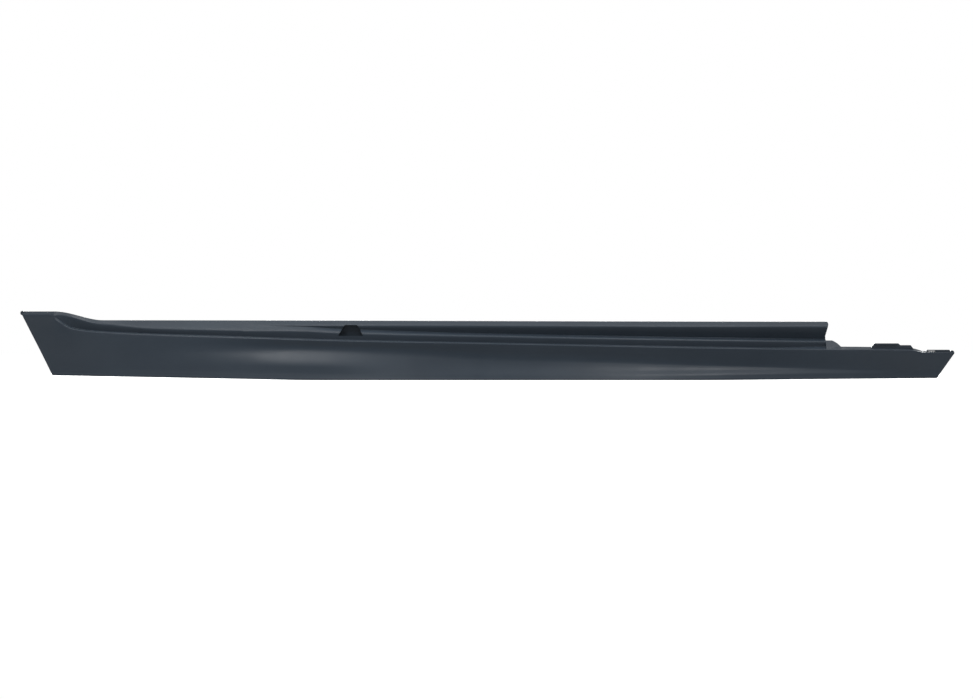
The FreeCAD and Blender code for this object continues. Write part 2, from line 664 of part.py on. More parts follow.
def seat_pockets():
    """Hollows of the clip seats, open at the top, each with the slot for the clip's neck."""
    pockets = []
    depth = size("seat_face") - size("seat_plate")
    floor_z = size("clip_height") - size("seat_height") / 2 + size("seat_wall")
    for i, x in enumerate(seat_places()):
        width = size("seat_width") - 2 * size("seat_wall")
        front_y = depth - size("clip_disc_thick") - size("seat_room")
        pockets.append(box(f"seat_hollow_{i}", f"{width}", f"{depth - front_y}",
                           "Sizes.seat_height", (x - width / 2, front_y, floor_z)))
        slot = size("seat_slot")
        pockets.append(box(f"seat_slot_{i}", "Sizes.seat_slot", "Sizes.seat_plate + 2",
                           "Sizes.seat_height", (x - slot / 2, depth - 1, size("clip_height"))))
        round_end = doc.addObject("Part::Cylinder", f"seat_slot_end_{i}")
        round_end.setExpression("Radius", "Sizes.seat_slot / 2")
        round_end.setExpression("Height", "Sizes.seat_plate + 2")
        round_end.Placement = Placement(Vector(x, depth - 1, size("clip_height")),
                                        Rotation(Vector(1, 0, 0), -90))
        pockets.append(round_end)
    return pockets


def screw_places():
    margin = size("screw_margin")
    return spread(size("screw_pitch"), FRONT_FOOT + margin, REAR_FOOT - margin)


def screw_pads():
    pads = []
    for i, x in enumerate(screw_places()):
        pad = doc.addObject("Part::Cylinder", f"screw_pad_{i}")
        pad.setExpression("Radius", "Sizes.screw_pad / 2")
        pad.setExpression("Height", f"Sizes.screw_pad_rise + {MERGED}")
        pad.Placement = Placement(Vector(x, 0, underside(x) + size("wall") - MERGED), Rotation())
        pads.append(pad)
    return pads


def screw_holes():
    holes = []
    for i, x in enumerate(screw_places()):
        hole = doc.addObject("Part::Cylinder", f"screw_hole_{i}")
        hole.setExpression("Radius", "Sizes.screw_hole / 2")
        hole.setExpression("Height", f"Sizes.wall + Sizes.screw_pad_rise + {2 * CLEAR}")
        hole.Placement = Placement(Vector(x, 0, underside(x) - CLEAR), Rotation())
        holes.append(hole)
    return holes


def rear_top_outline():
    """Everything above the lower ledge behind the rail's slanted end, in x and z."""
    top, corner = top_edge(X_RAIL), size("rail_corner")
    cap_x, cap_z = X_RAIL + size("rail_cap_past"), top - size("rail_cap")
    points = [(cap_x - corner, ABOVE), (cap_x - corner, top), (cap_x, top - corner), (cap_x, cap_z),
              (cap_x - size("rail_lean_back"), cap_z - size("rail_lean"))]
    past = X_REAR + OVERRUN + 5
    middle = (PLACES["step"] + PLACES["tip"]) / 2
    for x in (X_RAIL - size("rail_foot_in"), PLACES["behind"], PLACES["step"], middle, PLACES["tip"], past):
        points.append((x, edge_height(x) + shelf_rise(x) + 1))
    points.append((past, ABOVE))
    return points


def rear_end_outline():
    """Everything behind the rear end: a slanted line up to the tip, upright above it."""
    return [(REAR_FOOT + END_TAN_REAR * BELOW, BELOW), (X_REAR, size("rear_tip_height")),
            (X_REAR, ABOVE), (X_REAR + FAR, ABOVE), (X_REAR + FAR, BELOW)]


def ramp():
    """Curved web that closes the end of the rail, sloping from the upper ledge to the face."""
    start, end = X_RAIL - size("ramp_start"), X_RAIL + size("ramp_length")
    low = edge_height(X_RAIL)
    high = low + size("ramp_height")
    foot = edge_height(end) + shelf_rise(end) - 1
    under = foot - CLEAR
    crown = Vector(mix(start, end, size("ramp_crown")), 0, high)
    bend = Vector(mix(crown.x, end, 0.59), 0, mix(foot, high, 0.56))
    last = Vector(end, 0, foot)
    outline = [last, Vector(end, 0, under), Vector(start, 0, under), Vector(start, 0, high), crown]
    sides = [Part.LineSegment(a, b).toShape() for a, b in zip(outline, outline[1:])]
    sides.append(Part.Arc(crown, bend, last).toShape())
    profile = Part.Face(Part.Wire(sides))
    profile.translate(Vector(0, -DEEP, 0))
    across = feature("ramp_profile", profile.extrude(Vector(0, 2 * DEEP, 0)))
    outer, inner = -size("edge_tip") + 5, -size("shelf_merge") + MERGED
    slope = [(outer, low), (-size("ledge_merge"), high + 1), (inner, high + 1), (inner, low)]
    wire = Part.makePolygon([Vector(start, y, z) for y, z in slope + slope[:1]])
    wedge = feature("ramp_slope", Part.Face(wire).extrude(Vector(end - start, 0, 0)))
    return common("ramp", [across, wedge])


def rear_tab():
    """Raised hook behind the main face's edge: a wall, its top, and a lower step behind it."""
    start = X_REAR - size("tab_front")
    middle = start + size("tab_length")
    end = middle + size("tab_step")
    low = edge_height(start)
    high, step = low + size("tab_rise"), low + size("tab_step_rise")
    foot = low + shelf_rise(start) - size("wall")
    first, last = start + size("tab_chamfer"), middle - (high - step)
    outline = [(start, foot), (start, mix(low, high, 0.37)), (first, high), (last, high), (middle, step),
               (end - size("tab_chamfer"), step), (end, low + 2), (end, edge_height(end) + 1)]
    wall = prism("tab_wall", outline, -size("tab_out"), -size("tab_out") + size("wall"))
    roof = [(first, high - size("wall")), (first, high), (last, high), (last, high - size("wall"))]
    top = prism("tab_top", roof, -size("tab_out"), -size("tab_out") + size("tab_depth"))
    return [wall, top]


def tab_pocket():
    """Shallow pocket in the tab's outer face."""
    start = X_REAR - size("tab_front") + (size("tab_length") - size("pocket_length")) / 2 + 1
    top = edge_height(X_REAR - size("tab_front")) + size("tab_rise") - size("wall") - size("pocket_depth")
    return box("tab_pocket", "Sizes.pocket_length", f"Sizes.pocket_depth + {CLEAR}", "Sizes.pocket_height",
               (start, -size("tab_out") - CLEAR, top - size("pocket_height")))


def strap():
    """Low step near the rear tip whose front half is a thin strap over a gap."""
    start = X_REAR - size("strap_front")
    end = start + size("strap_length")
    post = start + size("strap_post")
    gap = post + size("strap_gap")
    low = edge_height(end)
    high = low + size("strap_rise")
    foot = low + shelf_rise(end) - size("wall") + 1
    under = high - size("strap_thick")
    cut_off = size("corner_cut")
    outline = [(start, foot), (start, high), (end - cut_off, high), (end, high - cut_off), (end, foot),
               (gap, foot), (gap, under), (post, under), (post, foot)]
    half = size("strap_width") / 2
    return prism("strap", outline, -size("tab_out") - half, -size("tab_out") + half)


def lug(name, x, z, y_front):
    """Round ear that locates an end's tip on the car."""
    ear = doc.addObject("Part::Cylinder", name)
    ear.setExpression("Radius", "Sizes.lug_radius")
    ear.setExpression("Height", "Sizes.lug_width")
    ear.Placement = Placement(Vector(x, y_front, z), Rotation(Vector(1, 0, 0), -90))
    return ear


def end_places():
    """Where the spring nuts sit: height, x on the end's outer face, lean and side of each."""
    front, rear = math.radians(size("front_slant")), math.radians(size("rear_slant"))
    places = []
    for name, height in (("front_spring_nut_low", "nut_low"), ("front_spring_nut_high", "nut_high")):
        places.append((name, size(height), FRONT_FOOT - size(height) * math.tan(front), -front, 1))
    places.append(("rear_spring_nut", size("nut_rear"), REAR_FOOT + size("nut_rear") * math.tan(rear),
                   rear, -1))
    return places


def end_frame(height, x, lean, side):
    """Placement with local X square to the end flange, pointing into the skirt."""
    turn = Rotation(Vector(0, 1, 0), math.degrees(lean))
    if side < 0:
        turn = turn.multiply(Rotation(Vector(0, 0, 1), 180))
    return Placement(Vector(x, END_EDGE, height), turn)


def nut_holes():
    holes = []
    for name, height, x, lean, side in end_places():
        frame = end_frame(height, x, lean, side)
        hole = doc.addObject("Part::Cylinder", name + "_hole")
        hole.setExpression("Radius", "Sizes.nut_hole / 2")
        hole.setExpression("Height", f"Sizes.end_flange + {2 * CLEAR}")
        local = Placement(Vector(-CLEAR, -side * nut_middle(), 0), Rotation(Vector(0, 1, 0), 90))
        hole.Placement = frame.multiply(local)
        holes.append(hole)
    return holes


def nut_middle():
    """Distance of a spring nut's collar from the flange's inner edge."""
    return size("nut_length") - size("nut_collar") / 2 - size("nut_collar_edge")


# Everything that stands behind the wall, trimmed to the wall's middle
roots, blocks = clip_seats()
inside_parts = fused("inside_parts", end_flanges() + lip_ribs() + rail_ribs() + roots
                     + [prism("notch_liner", trapezoid(size("wall")), -DEEP, size("notch_back"))])
behind = common("behind", [inside_parts, core])
body = fused("body", [skin, behind] + blocks + screw_pads())

# What is cut away
notch = prism("notch", trapezoid(0), -DEEP, size("notch_back") - size("wall"))
front_end = end_blade("front_end", FRONT_FOOT - FAR, -END_TAN_FRONT, FAR, -DEEP, DEEP)
rear_end = prism("rear_end", rear_end_outline(), -DEEP, DEEP)
rear_top = prism("rear_top", rear_top_outline(), -DEEP, DEEP)
tools = fused("tools", [notch, front_end, rear_end, rear_top] + screw_holes() + seat_pockets()
              + nut_holes())
trimmed = cut("trimmed", body, tools)

# What stands up behind the low rear part, and the ears at both tips
lug_drop = size("lug_radius") - size("lug_above")
front_lug = lug("front_lug", X_FRONT + size("lug_radius"), size("front_height") - lug_drop,
                CLEAR - size("ledge_block"))
rear_lug = lug("rear_lug", X_REAR - size("lug_radius"), size("rear_tip_height") + size("rear_lug_above"),
               CLEAR - size("edge_tip") - 1)
tab = cut("tab", fused("tab_solid", rear_tab()), tab_pocket())
shell = fused("skirt_shell", [trimmed, ramp(), tab, strap(), front_lug, rear_lug])


def clip(i, x):
    """Nylon fir-tree clip: two discs that grip the seat's plate, and a barbed stem."""
    piece = doc.addObject("PartDesign::Body", f"clip_body_{i}")
    upright = next(f for f in piece.Origin.OriginFeatures if f.Role == "XZ_Plane")
    outline = piece.newObject("Sketcher::SketchObject", f"clip_outline_{i}")
    outline.AttachmentSupport = [(upright, "")]
    outline.MapMode = "FlatFace"
    thick, plate = size("clip_disc_thick"), size("seat_plate")
    disc, neck, stem = size("clip_disc") / 2, size("clip_neck") / 2, size("clip_stem") / 2
    barb, reach = size("clip_barb") / 2, size("clip_reach")
    discs = thick + plate + thick
    # Radii of the barbed stem, at shares of its length
    steps = [(stem, 0), (stem, 0.16), (barb, 0.24), (stem, 0.50), (barb - size("clip_taper"), 0.58),
             (stem * 0.45, 1)]
    profile = [(0, 0), (disc, 0), (disc, thick), (neck, thick), (neck, thick + plate), (disc, thick + plate),
               (disc, discs)]
    profile += [(radius, discs + share * reach) for radius, share in steps] + [(0, discs + reach)]
    points = [Vector(radius, along, 0) for radius, along in profile]
    for a, b in zip(points, points[1:] + points[:1]):
        outline.addGeometry(Part.LineSegment(a, b), False)
    turned = piece.newObject("PartDesign::Revolution", f"clip_turned_{i}")
    turned.Profile = outline
    turned.ReferenceAxis = (outline, ["V_Axis"])
    turned.Angle = 360
    piece.Tip = turned
    # The sketch's upright axis is the body's Z; it is laid along +Y, from the plate inwards
    piece.Placement = Placement(Vector(x, PLATE_FRONT - thick, size("clip_height")),
                                Rotation(Vector(1, 0, 0), -90))
    piece.Label = f"sill_clip_{i + 1}"
    return piece


def spring_nut(name, height, x, lean, side):
    """Sheet-metal U over the end flange's inner edge, with a threaded collar inside."""
    sheet_t, play = size("nut_sheet"), size("nut_play")
    width, length, middle = size("nut_width"), size("nut_length"), nut_middle()
    inner_leg = size("end_flange") + play
    frame = end_frame(height, x, lean, side)
    # Along the flange the legs run from their free ends to the bridge round its edge
    free, round_edge = (-length, play) if side > 0 else (-play - sheet_t, -play - sheet_t)
    legs = []
    for tag, at in (("outer", -play - sheet_t), ("inner", inner_leg)):
        leg = doc.addObject("Part::Box", f"{name}_{tag}")
        leg.setExpression("Length", "Sizes.nut_sheet")
        leg.setExpression("Width", "Sizes.nut_length + Sizes.nut_sheet + Sizes.nut_play")
        leg.setExpression("Height", "Sizes.nut_width")
        leg.Placement = frame.multiply(Placement(Vector(at, free, -width / 2), Rotation()))
        legs.append(leg)
    bridge = doc.addObject("Part::Box", name + "_bridge")
    bridge.setExpression("Length", "Sizes.end_flange + 2 * Sizes.nut_sheet + 2 * Sizes.nut_play")
    bridge.setExpression("Width", "Sizes.nut_sheet")
    bridge.setExpression("Height", "Sizes.nut_width")
    bridge.Placement = frame.multiply(Placement(Vector(-play - sheet_t, round_edge, -width / 2), Rotation()))
    collar = doc.addObject("Part::Cylinder", name + "_collar")
    collar.setExpression("Radius", "Sizes.nut_collar / 2")
    collar.setExpression("Height", "Sizes.nut_collar_rise")
    turn = Rotation(Vector(0, 1, 0), 90)
    collar.Placement = frame.multiply(Placement(Vector(inner_leg + sheet_t, -side * middle, 0), turn))
    bore = doc.addObject("Part::Cylinder", name + "_bore")
    bore.setExpression("Radius", "Sizes.nut_bore / 2")
    bore.setExpression("Height", f"Sizes.end_flange + Sizes.nut_collar_rise + {2 * CLEAR}")
    bore.Placement = frame.multiply(Placement(Vector(-CLEAR, -side * middle, 0), turn))
    made = cut(name, fused(name + "_solid", legs + [bridge, collar]), bore)
    made.Label = name
    return made


shell.Label = "skirt_shell"
nodes = [shell]
nodes += [clip(i, x) for i, x in enumerate(seat_places())]
nodes += [spring_nut(*place) for place in end_places()]
doc.recompute()

for made in doc.Objects:
    if "Invalid" in made.State or "Error" in made.State:
        raise RuntimeError(f"{made.Name} could not be made: {made.State}")
for node in nodes:
    if node.Shape.isNull() or not node.Shape.isValid():
        raise RuntimeError(f"{node.Label} has no valid shape")
    if len(node.Shape.Solids) != 1:
        raise RuntimeError(f"{node.Label} is {len(node.Shape.Solids)} solids instead of one")

os.makedirs("parts", exist_ok=True)
for node in nodes:
    node.Shape.exportStep(f"parts/{node.Label}.step")
    bounds = node.Shape.BoundBox
    print(node.Label, round(node.Shape.Volume), "mm3", round(bounds.XLength), round(bounds.YLength),
          round(bounds.ZLength))
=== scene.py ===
# %% [markdown]
# # A car's side skirt in black plastic
# A side skirt closes the sill between the wheel arches. It is one long injection
# moulding of black polypropylene with a fine grain, about two metres long and only
# fifteen centimetres high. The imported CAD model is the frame: it fixes every size
# and place, and this lesson gives each of its pieces a finer mesh and a finish.

import math

import bmesh
import bpy
import numpy as np
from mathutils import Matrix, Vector


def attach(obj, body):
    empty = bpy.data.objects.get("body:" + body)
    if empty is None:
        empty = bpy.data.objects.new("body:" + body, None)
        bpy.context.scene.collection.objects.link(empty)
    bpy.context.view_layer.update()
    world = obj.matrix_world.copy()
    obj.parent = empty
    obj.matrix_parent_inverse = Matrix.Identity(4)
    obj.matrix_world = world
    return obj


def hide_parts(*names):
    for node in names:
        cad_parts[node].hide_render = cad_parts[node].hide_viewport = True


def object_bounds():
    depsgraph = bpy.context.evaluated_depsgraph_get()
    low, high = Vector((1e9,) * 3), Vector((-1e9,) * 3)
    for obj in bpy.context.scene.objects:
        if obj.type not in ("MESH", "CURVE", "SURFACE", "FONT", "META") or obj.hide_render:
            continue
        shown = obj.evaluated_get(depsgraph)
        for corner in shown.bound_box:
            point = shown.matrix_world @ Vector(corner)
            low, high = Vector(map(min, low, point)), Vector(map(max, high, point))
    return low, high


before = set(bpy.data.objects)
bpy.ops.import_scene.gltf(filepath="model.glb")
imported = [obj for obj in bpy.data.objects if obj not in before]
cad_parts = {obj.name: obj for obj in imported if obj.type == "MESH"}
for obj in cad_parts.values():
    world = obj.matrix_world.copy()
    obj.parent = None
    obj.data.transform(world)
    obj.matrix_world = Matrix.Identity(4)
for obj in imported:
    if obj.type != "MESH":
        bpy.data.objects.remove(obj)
cad_low, cad_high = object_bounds()
print("frame box in metres:", [round(v, 4) for v in cad_high - cad_low])

# %% [markdown]
# ## Driving sizes
# The moulding is a thin wall whose cross-section changes slowly along the car. A
# few heights and depths drive it, in millimetres as on a drawing, and a mesh is
# scaled to metres when it is made. X runs along the car, -Y faces outwards.

# %% Sizes of the moulding
MM = 0.001
LENGTH = (cad_high.x - cad_low.x) / MM
WALL = 3.0
X_FRONT, X_REAR = -LENGTH / 2, LENGTH / 2
X_BLOCK = X_FRONT + 72.0            # end of the tall front block
X_SWAN = X_BLOCK + 100.0            # foot of the swan neck
X_MERGE = X_SWAN + 291.0            # start of the upper recess
X_RAIL = X_REAR - 264.0             # rear end of the rail
OVERRUN = 25.0                      # the wall runs past both ends before they are trimmed
FRONT_HEIGHT, RAIL_HEIGHT, RAIL_HEIGHT_REAR = 144.7, 126.4, 123.4
FRONT_TAN, REAR_TAN = (math.tan(math.radians(a)) for a in (27.4, 36.3))
TIP_HEIGHT = 56.0
FRONT_FOOT = X_FRONT + FRONT_HEIGHT * FRONT_TAN
REAR_FOOT = X_REAR - TIP_HEIGHT * REAR_TAN
print(f"wall from x = {X_FRONT:.1f} to {X_REAR:.1f} mm, rail ends at {X_RAIL:.1f} mm")

# %% [markdown]
# ## Smooth curves without overshoot
# Each corner of the cross-section follows a gentle line along the car. A cubic
# through a few points would swing out between them, so the slopes are limited to
# the harmonic mean of the two neighbours, which keeps the curve monotone.


# %% Curves along the skirt
def curve(x, points):
    """Piecewise cubic through the points. At each point the slope is the weighted
    harmonic mean of the slopes on both sides, or zero where they change sign."""
    px, py = np.array(points, float).T
    gaps = np.diff(px)
    slopes = np.diff(py) / gaps
    before, after = slopes[:-1], slopes[1:]
    w0, w1 = 2 * gaps[1:] + gaps[:-1], gaps[1:] + 2 * gaps[:-1]
    turning = before * after <= 0
    safe_before, safe_after = np.where(turning, 1.0, before), np.where(turning, 1.0, after)
    middle = np.where(turning, 0.0, (w0 + w1) / (w0 / safe_before + w1 / safe_after))
    tangents = np.concatenate([slopes[:1], middle, slopes[-1:]])
    x = np.clip(x, px[0], px[-1])
    i = np.clip(np.searchsorted(px, x, side="right") - 1, 0, len(gaps) - 1)
    u = (x - px[i]) / gaps[i]
    start, end = py[i], py[i + 1]
    m0, m1 = tangents[i] * gaps[i], tangents[i + 1] * gaps[i]
    return (start * (1 + 2 * u) * (1 - u) ** 2 + end * u * u * (3 - 2 * u)
            + m0 * u * (1 - u) ** 2 - m1 * u * u * (1 - u))


def ease(u):
    """0 before 0, 1 after 1, and 3u^2 - 2u^3 between."""
    u = np.clip(u, 0.0, 1.0)
    return u * u * (3 - 2 * u)


def mix(a, b, u):
    return a + (b - a) * u


print("the curve passes its points:", curve(np.array([0.0, 2.0]), [(0, 1), (1, 3), (2, 4)]))

# %% Named places along the skirt
PLACES = {"block": X_BLOCK, "swan": X_SWAN, "plain": X_SWAN + 60, "slope": X_SWAN + 100, "merge": X_MERGE,
          "shelf_in": X_RAIL - 10, "rail": X_RAIL, "shelf_out": X_RAIL + 40, "behind": X_RAIL + 60,
          "fair": X_REAR - 110, "step": X_REAR - 95, "tip": X_REAR - 66}
NECK_SHARES = {"neck_top": 0.12, "neck_upper": 0.24, "neck_lower": 0.36, "neck_low": 0.58}
RAIL_SHARES = {"early": 0.102, "quarter": 0.153, "notch": 0.27, "lip_full": 0.30, "lip_low": 0.32,
               "middle": 0.444, "late": 0.614, "lip_rising": 0.62, "lip_in": 0.70, "last": 0.785,
               "end": 0.80, "shelf_rising": 0.90, "lip_high": 0.97}
PLACES["slope_full"] = mix(X_SWAN, X_MERGE, 0.36)
for place, share in NECK_SHARES.items():
    PLACES[place] = mix(X_BLOCK, X_SWAN, share)
for place, share in RAIL_SHARES.items():
    PLACES[place] = mix(X_MERGE, X_RAIL, share)


def line(x, names, values):
    """The curve through one value at each of the named places."""
    return curve(x, [(PLACES[name], value) for name, value in zip(names.split(), values, strict=True)])


print("named places:", len(PLACES))

# %% [markdown]
# ## Heights along the skirt
# The top edge falls from the block through a swan neck to the rail. The underside
# is flat in the middle and rises a little towards both wheel arches. The upper and
# lower ledges, the main face's edge and the lip each have a height of their own.

# %% Top edge and underside
FLAT_FRONT, FLAT_REAR = 350.0, 430.0
FRONT_RISE, REAR_RISE = 11.4, 4.6
SOFT_START = 60.0                   # the underside starts to rise over this length


def underside(x):
    """Zero in the flat middle, then a parabola over SOFT_START that runs on as a line."""
    rear = x >= 0
    rise = np.where(rear, REAR_RISE, FRONT_RISE)
    reach = np.where(rear, X_REAR - FLAT_REAR, -X_FRONT - FLAT_FRONT)
    past = np.clip(np.where(rear, x - FLAT_REAR, -x - FLAT_FRONT), 0, None)
    steep = rise / (reach - SOFT_START / 2)
    return steep * np.where(past < SOFT_START, past ** 2 / (2 * SOFT_START), past - SOFT_START / 2)


def top_edge(x):
    """The block's height eased over the swan neck into the rail's slowly falling height."""
    rail = mix(RAIL_HEIGHT, RAIL_HEIGHT_REAR, ease((x - X_SWAN) / (X_RAIL - X_SWAN)))
    return mix(FRONT_HEIGHT, rail, ease((x - X_BLOCK) / (X_SWAN - X_BLOCK)))


print("top edge at the front, middle and rear:", top_edge(np.array([X_FRONT, 0.0, X_RAIL])).round(1))

# %% Heights of the ledges and of the main face's edge
SHOULDER, FACE_GAP = 7.7, 9.0       # the block's sloping shoulder and the first stretch under it
SLOPE_FULL, STRIP_DROP = 21.0, 10.8
EDGE_SWAN = 100.6
SHELF_RISE, SHELF_RISE_REAR = 1.6, 5.2


def edge_height(x):
    """The main face's top edge: it dives from the block's shoulder along the swan neck,
    then falls slowly to the rear tip."""
    start = FRONT_HEIGHT - SHOULDER - FACE_GAP
    dive = start - EDGE_SWAN
    neck = [start - share * dive for share in (0, 0.22, 0.51, 0.70, 0.86)]
    names = "block neck_top neck_upper neck_lower neck_low swan merge quarter middle end rail step tip"
    return line(x, names, neck + [EDGE_SWAN, 89.5, 83.2, 76.2, 67.6, 64.4, 62.5, 58.4])


def shelf_rise(x):
    """Rise of the lower ledge from the main face's edge to its back."""
    return line(x, "block neck_upper shelf_rising rail step tip",
                (FACE_GAP / 2, SHELF_RISE, SHELF_RISE, SHELF_RISE_REAR, SHELF_RISE_REAR, SHELF_RISE))


print("edge of the main face, front to rear:", edge_height(np.array([X_SWAN, 0.0, X_RAIL])).round(1))

# %% [markdown]
# ## The cross-section
# Twelve corners describe the outer side, from the top edge over the strip, the
# recess, the two ledges, the main face with its crease and its lip, round to the
# bottom flange's upturned edge. Every corner is an array over all stations along
# the car, so the whole skin is worked out at once.


# %% Upper corners
STRIP_OUT = 12.0                    # the strip's lower edge, outwards from the row of screws
PARTING, STRIP_START = 110.0, 40.0  # strip and ledge part over the first length, from the second before it
ABOVE_MIDDLE, BELOW_MIDDLE = 0.49, 0.54     # shares of the slope at which the two will part
UNDERCUT = 0.36                     # how far the recess leans back for each millimetre of its height
EDGE_SOFT, STRIP_SOFT, CREVICE_SOFT = 0.9, 4.5, 1.6     # set-backs of the rounded corners


def upper_corners(x):
    """Top edge, strip, recess, upper ledge and shelf. In front of the recess strip and
    ledge are one slope, and they part over its first hundred millimetres."""
    top = top_edge(x)
    back_y = -line(x, "block neck_lower swan slope merge", (41, 28.5, 17, -1, -6))
    ledge_y = -line(x, "block neck_upper neck_lower neck_low swan merge", (47.5, 37, 33, 29.5, 27, 24))
    shelf_y = -line(x, "block neck_top neck_upper neck_lower neck_low swan merge shelf_in shelf_out",
                    (48.7, 42, 36, 30.5, 26.5, 25, 23, 23, 40))
    drop = line(x, "block swan slope_full merge", (SHOULDER, 9.3, 17.2, SLOPE_FULL))
    recess = line(x, "merge early quarter notch middle rail", (0.9, 2.8, 6.4, 12.0, 17.2, 27.0))
    fall = line(x, "merge quarter middle", (SLOPE_FULL - STRIP_DROP, 7.6, 4.4))
    parted = ease((x - X_MERGE) / PARTING)
    behind = x > X_MERGE
    strip_z = top - mix(ABOVE_MIDDLE * drop, STRIP_DROP, ease((x - X_MERGE) / STRIP_START + 1))
    recess_z = np.where(behind, strip_z - recess, top - BELOW_MIDDLE * drop)
    ledge_z = np.where(behind, recess_z - fall, top - drop)
    strip_y = mix(mix(back_y, ledge_y, ABOVE_MIDDLE), -STRIP_OUT, parted)
    recess_y = mix(mix(back_y, ledge_y, BELOW_MIDDLE), UNDERCUT * recess - STRIP_OUT, parted)
    return [(back_y, top, EDGE_SOFT),
            (strip_y, strip_z, STRIP_SOFT),
            (recess_y, recess_z, CREVICE_SOFT),
            (ledge_y, ledge_z, STRIP_SOFT),
            (shelf_y, edge_height(x) + shelf_rise(x), CREVICE_SOFT)]


# %% Lower corners
BELLY_DOWN = 0.55                   # where the flare is roundest, as a share of the way to the lip
FOOT_OUT = 5.0                      # bottom corner, outwards from the lip
FLANGE_IN, FLANGE_LIP = 24.0, 9.0   # the bottom flange's inner edge and the height it turns up
FACE_EDGE_SOFT, CREASE_SOFT, BELLY_SOFT = 2.6, 14.0, 24.0
LIP_SOFT, FOOT_SOFT, FLANGE_SOFT = 4.0, 1.2, 2.4


def lower_corners(x):
    """Main face's edge, crease, belly, lip, foot and the bottom flange. The crease fades
    into a plain face at the front and runs into the lip at the rear."""
    low = underside(x)
    edge_y = -line(x, "block swan merge notch middle late last fair", (49.5, 47, 45, 46, 51, 53.5, 55, 53))
    lip_z = line(x, "swan merge lip_low lip_rising lip_high behind", (24, 16.85, 9.7, 9.7, 15, 15))
    lip_y = -line(x, "swan lip_full lip_in behind fair", (62.5, 66.5, 66.5, 64, 62))
    stretch = "plain merge early notch middle late last behind"
    crease_z = line(x, stretch, (66, 67, 66, 60, 48, 43, 35, 22))
    crease_y = -line(x, stretch, (53.5, 46.5, 41, 41.5, 46, 47.5, 51.5, 59.5))
    share = line(x, stretch, (0.50, 0.64, 0.74, 0.56, 0.42, 0.45, 0.38, 0.50))
    flange = np.full_like(x, FLANGE_IN)
    return [(edge_y, edge_height(x), FACE_EDGE_SOFT),
            (crease_y, crease_z, CREASE_SOFT),
            (mix(crease_y, lip_y, share), mix(crease_z, lip_z, BELLY_DOWN), BELLY_SOFT),
            (lip_y, lip_z, LIP_SOFT),
            (lip_y - FOOT_OUT, low, FOOT_SOFT),
            (flange, low, FLANGE_SOFT),
            (flange, low + FLANGE_LIP, EDGE_SOFT)]


def outer_corners(x):
    """All twelve corners as arrays: places (12, stations, 2) and set-backs (12,)."""
    corners = upper_corners(x) + lower_corners(x)
    return np.array([(y, z) for y, z, soft in corners]).transpose(0, 2, 1), [c[2] for c in corners]


print("outer corners:", outer_corners(np.array([0.0]))[0].shape)

# %% [markdown]
# ## Wall thickness and rounded corners
# A mould gives the wall one thickness, so the inner corners are the outer ones moved
# inwards, square to both of their sides. No moulded corner is sharp: each one is
# rounded by a short parabola between its two sides.


# %% Offset and rounding
def moved_inwards(corners, depth):
    """Each corner moved by depth along the mean normal of its sides, divided by the
    cosine of half the bend, so that both sides end up at that depth."""
    sides = np.diff(corners, axis=0)
    sides /= np.linalg.norm(sides, axis=2, keepdims=True)
    normals = np.stack([-sides[..., 1], sides[..., 0]], axis=2)
    before = np.concatenate([normals[:1], normals])
    after = np.concatenate([normals, normals[-1:]])
    both = before + after
    return corners + both * 2 * depth / (both ** 2).sum(axis=2, keepdims=True)


def rounded_ring(corners, soft, steps, fillers):
    """Closed outline: corner i is the parabola (1-t)^2 a + 2t(1-t) c + t^2 b from a on
    one side to b on the other, and the side after it has fillers[i] more points."""
    back, ahead = np.roll(corners, 1, axis=0) - corners, np.roll(corners, -1, axis=0) - corners
    back_length = np.linalg.norm(back, axis=2, keepdims=True)
    ahead_length = np.linalg.norm(ahead, axis=2, keepdims=True)
    soft = np.array(soft)[:, None, None]
    enter = corners + back / back_length * np.minimum(soft, 0.42 * back_length)
    leave = corners + ahead / ahead_length * np.minimum(soft, 0.42 * ahead_length)
    rows = []
    for i, (count, extra) in enumerate(zip(steps, fillers)):
        t = np.linspace(0, 1, count)[:, None, None]
        rows.append((1 - t) ** 2 * enter[i] + 2 * t * (1 - t) * corners[i] + t ** 2 * leave[i])
        u = np.linspace(0, 1, extra + 2)[1:-1, None, None]
        rows.append(mix(leave[i], enter[(i + 1) % len(corners)], u))
    return np.concatenate(rows)


def wall_ring(x):
    """The wall's closed outline at each x, as (points, stations, 2)."""
    outside, soft = outer_corners(x)
    inside = moved_inwards(outside, WALL)[::-1]
    corners = np.concatenate([outside, inside])
    steps = [6] * 5 + [6, 12, 16, 8, 6, 5, 4] + [3] * 12
    fillers = [1] * 5 + [3, 4, 3, 2, 3, 1, 0] + [1] * 11 + [0]
    return rounded_ring(corners, soft + soft[::-1], steps, fillers)


def core_ring(x):
    """Closed outline from the middle of the wall inwards: what stands behind the wall."""
    outside, soft = outer_corners(x)
    middle = moved_inwards(outside, WALL / 2)
    soft = [0.0] + soft[1:-1] + [0.0]
    return rounded_ring(middle, soft, [2] + [5] * 10 + [2], [0] * 12)


print("points round the wall:", wall_ring(np.array([0.0])).shape[0])

# %% [markdown]
# ## From outlines to a closed mesh
# The outlines are laid side by side into a grid: one parameter runs round the wall
# and the other along the car. Quads join neighbours, and one face closes each end.
# The stations are closer together in the swan neck and at the low rear end.

# %% Stations and a mesh from outlines
def stations(fine, middle, rear):
    """Places along the skirt, at three spacings."""
    parts = [(X_FRONT - OVERRUN, X_SWAN + 30, fine), (X_SWAN + 30, X_RAIL - 20, middle),
             (X_RAIL - 20, X_REAR + OVERRUN, rear)]
    rows = [np.linspace(a, b, round((b - a) / pitch), endpoint=False) for a, b, pitch in parts]
    return np.concatenate(rows + [[X_REAR + OVERRUN]])


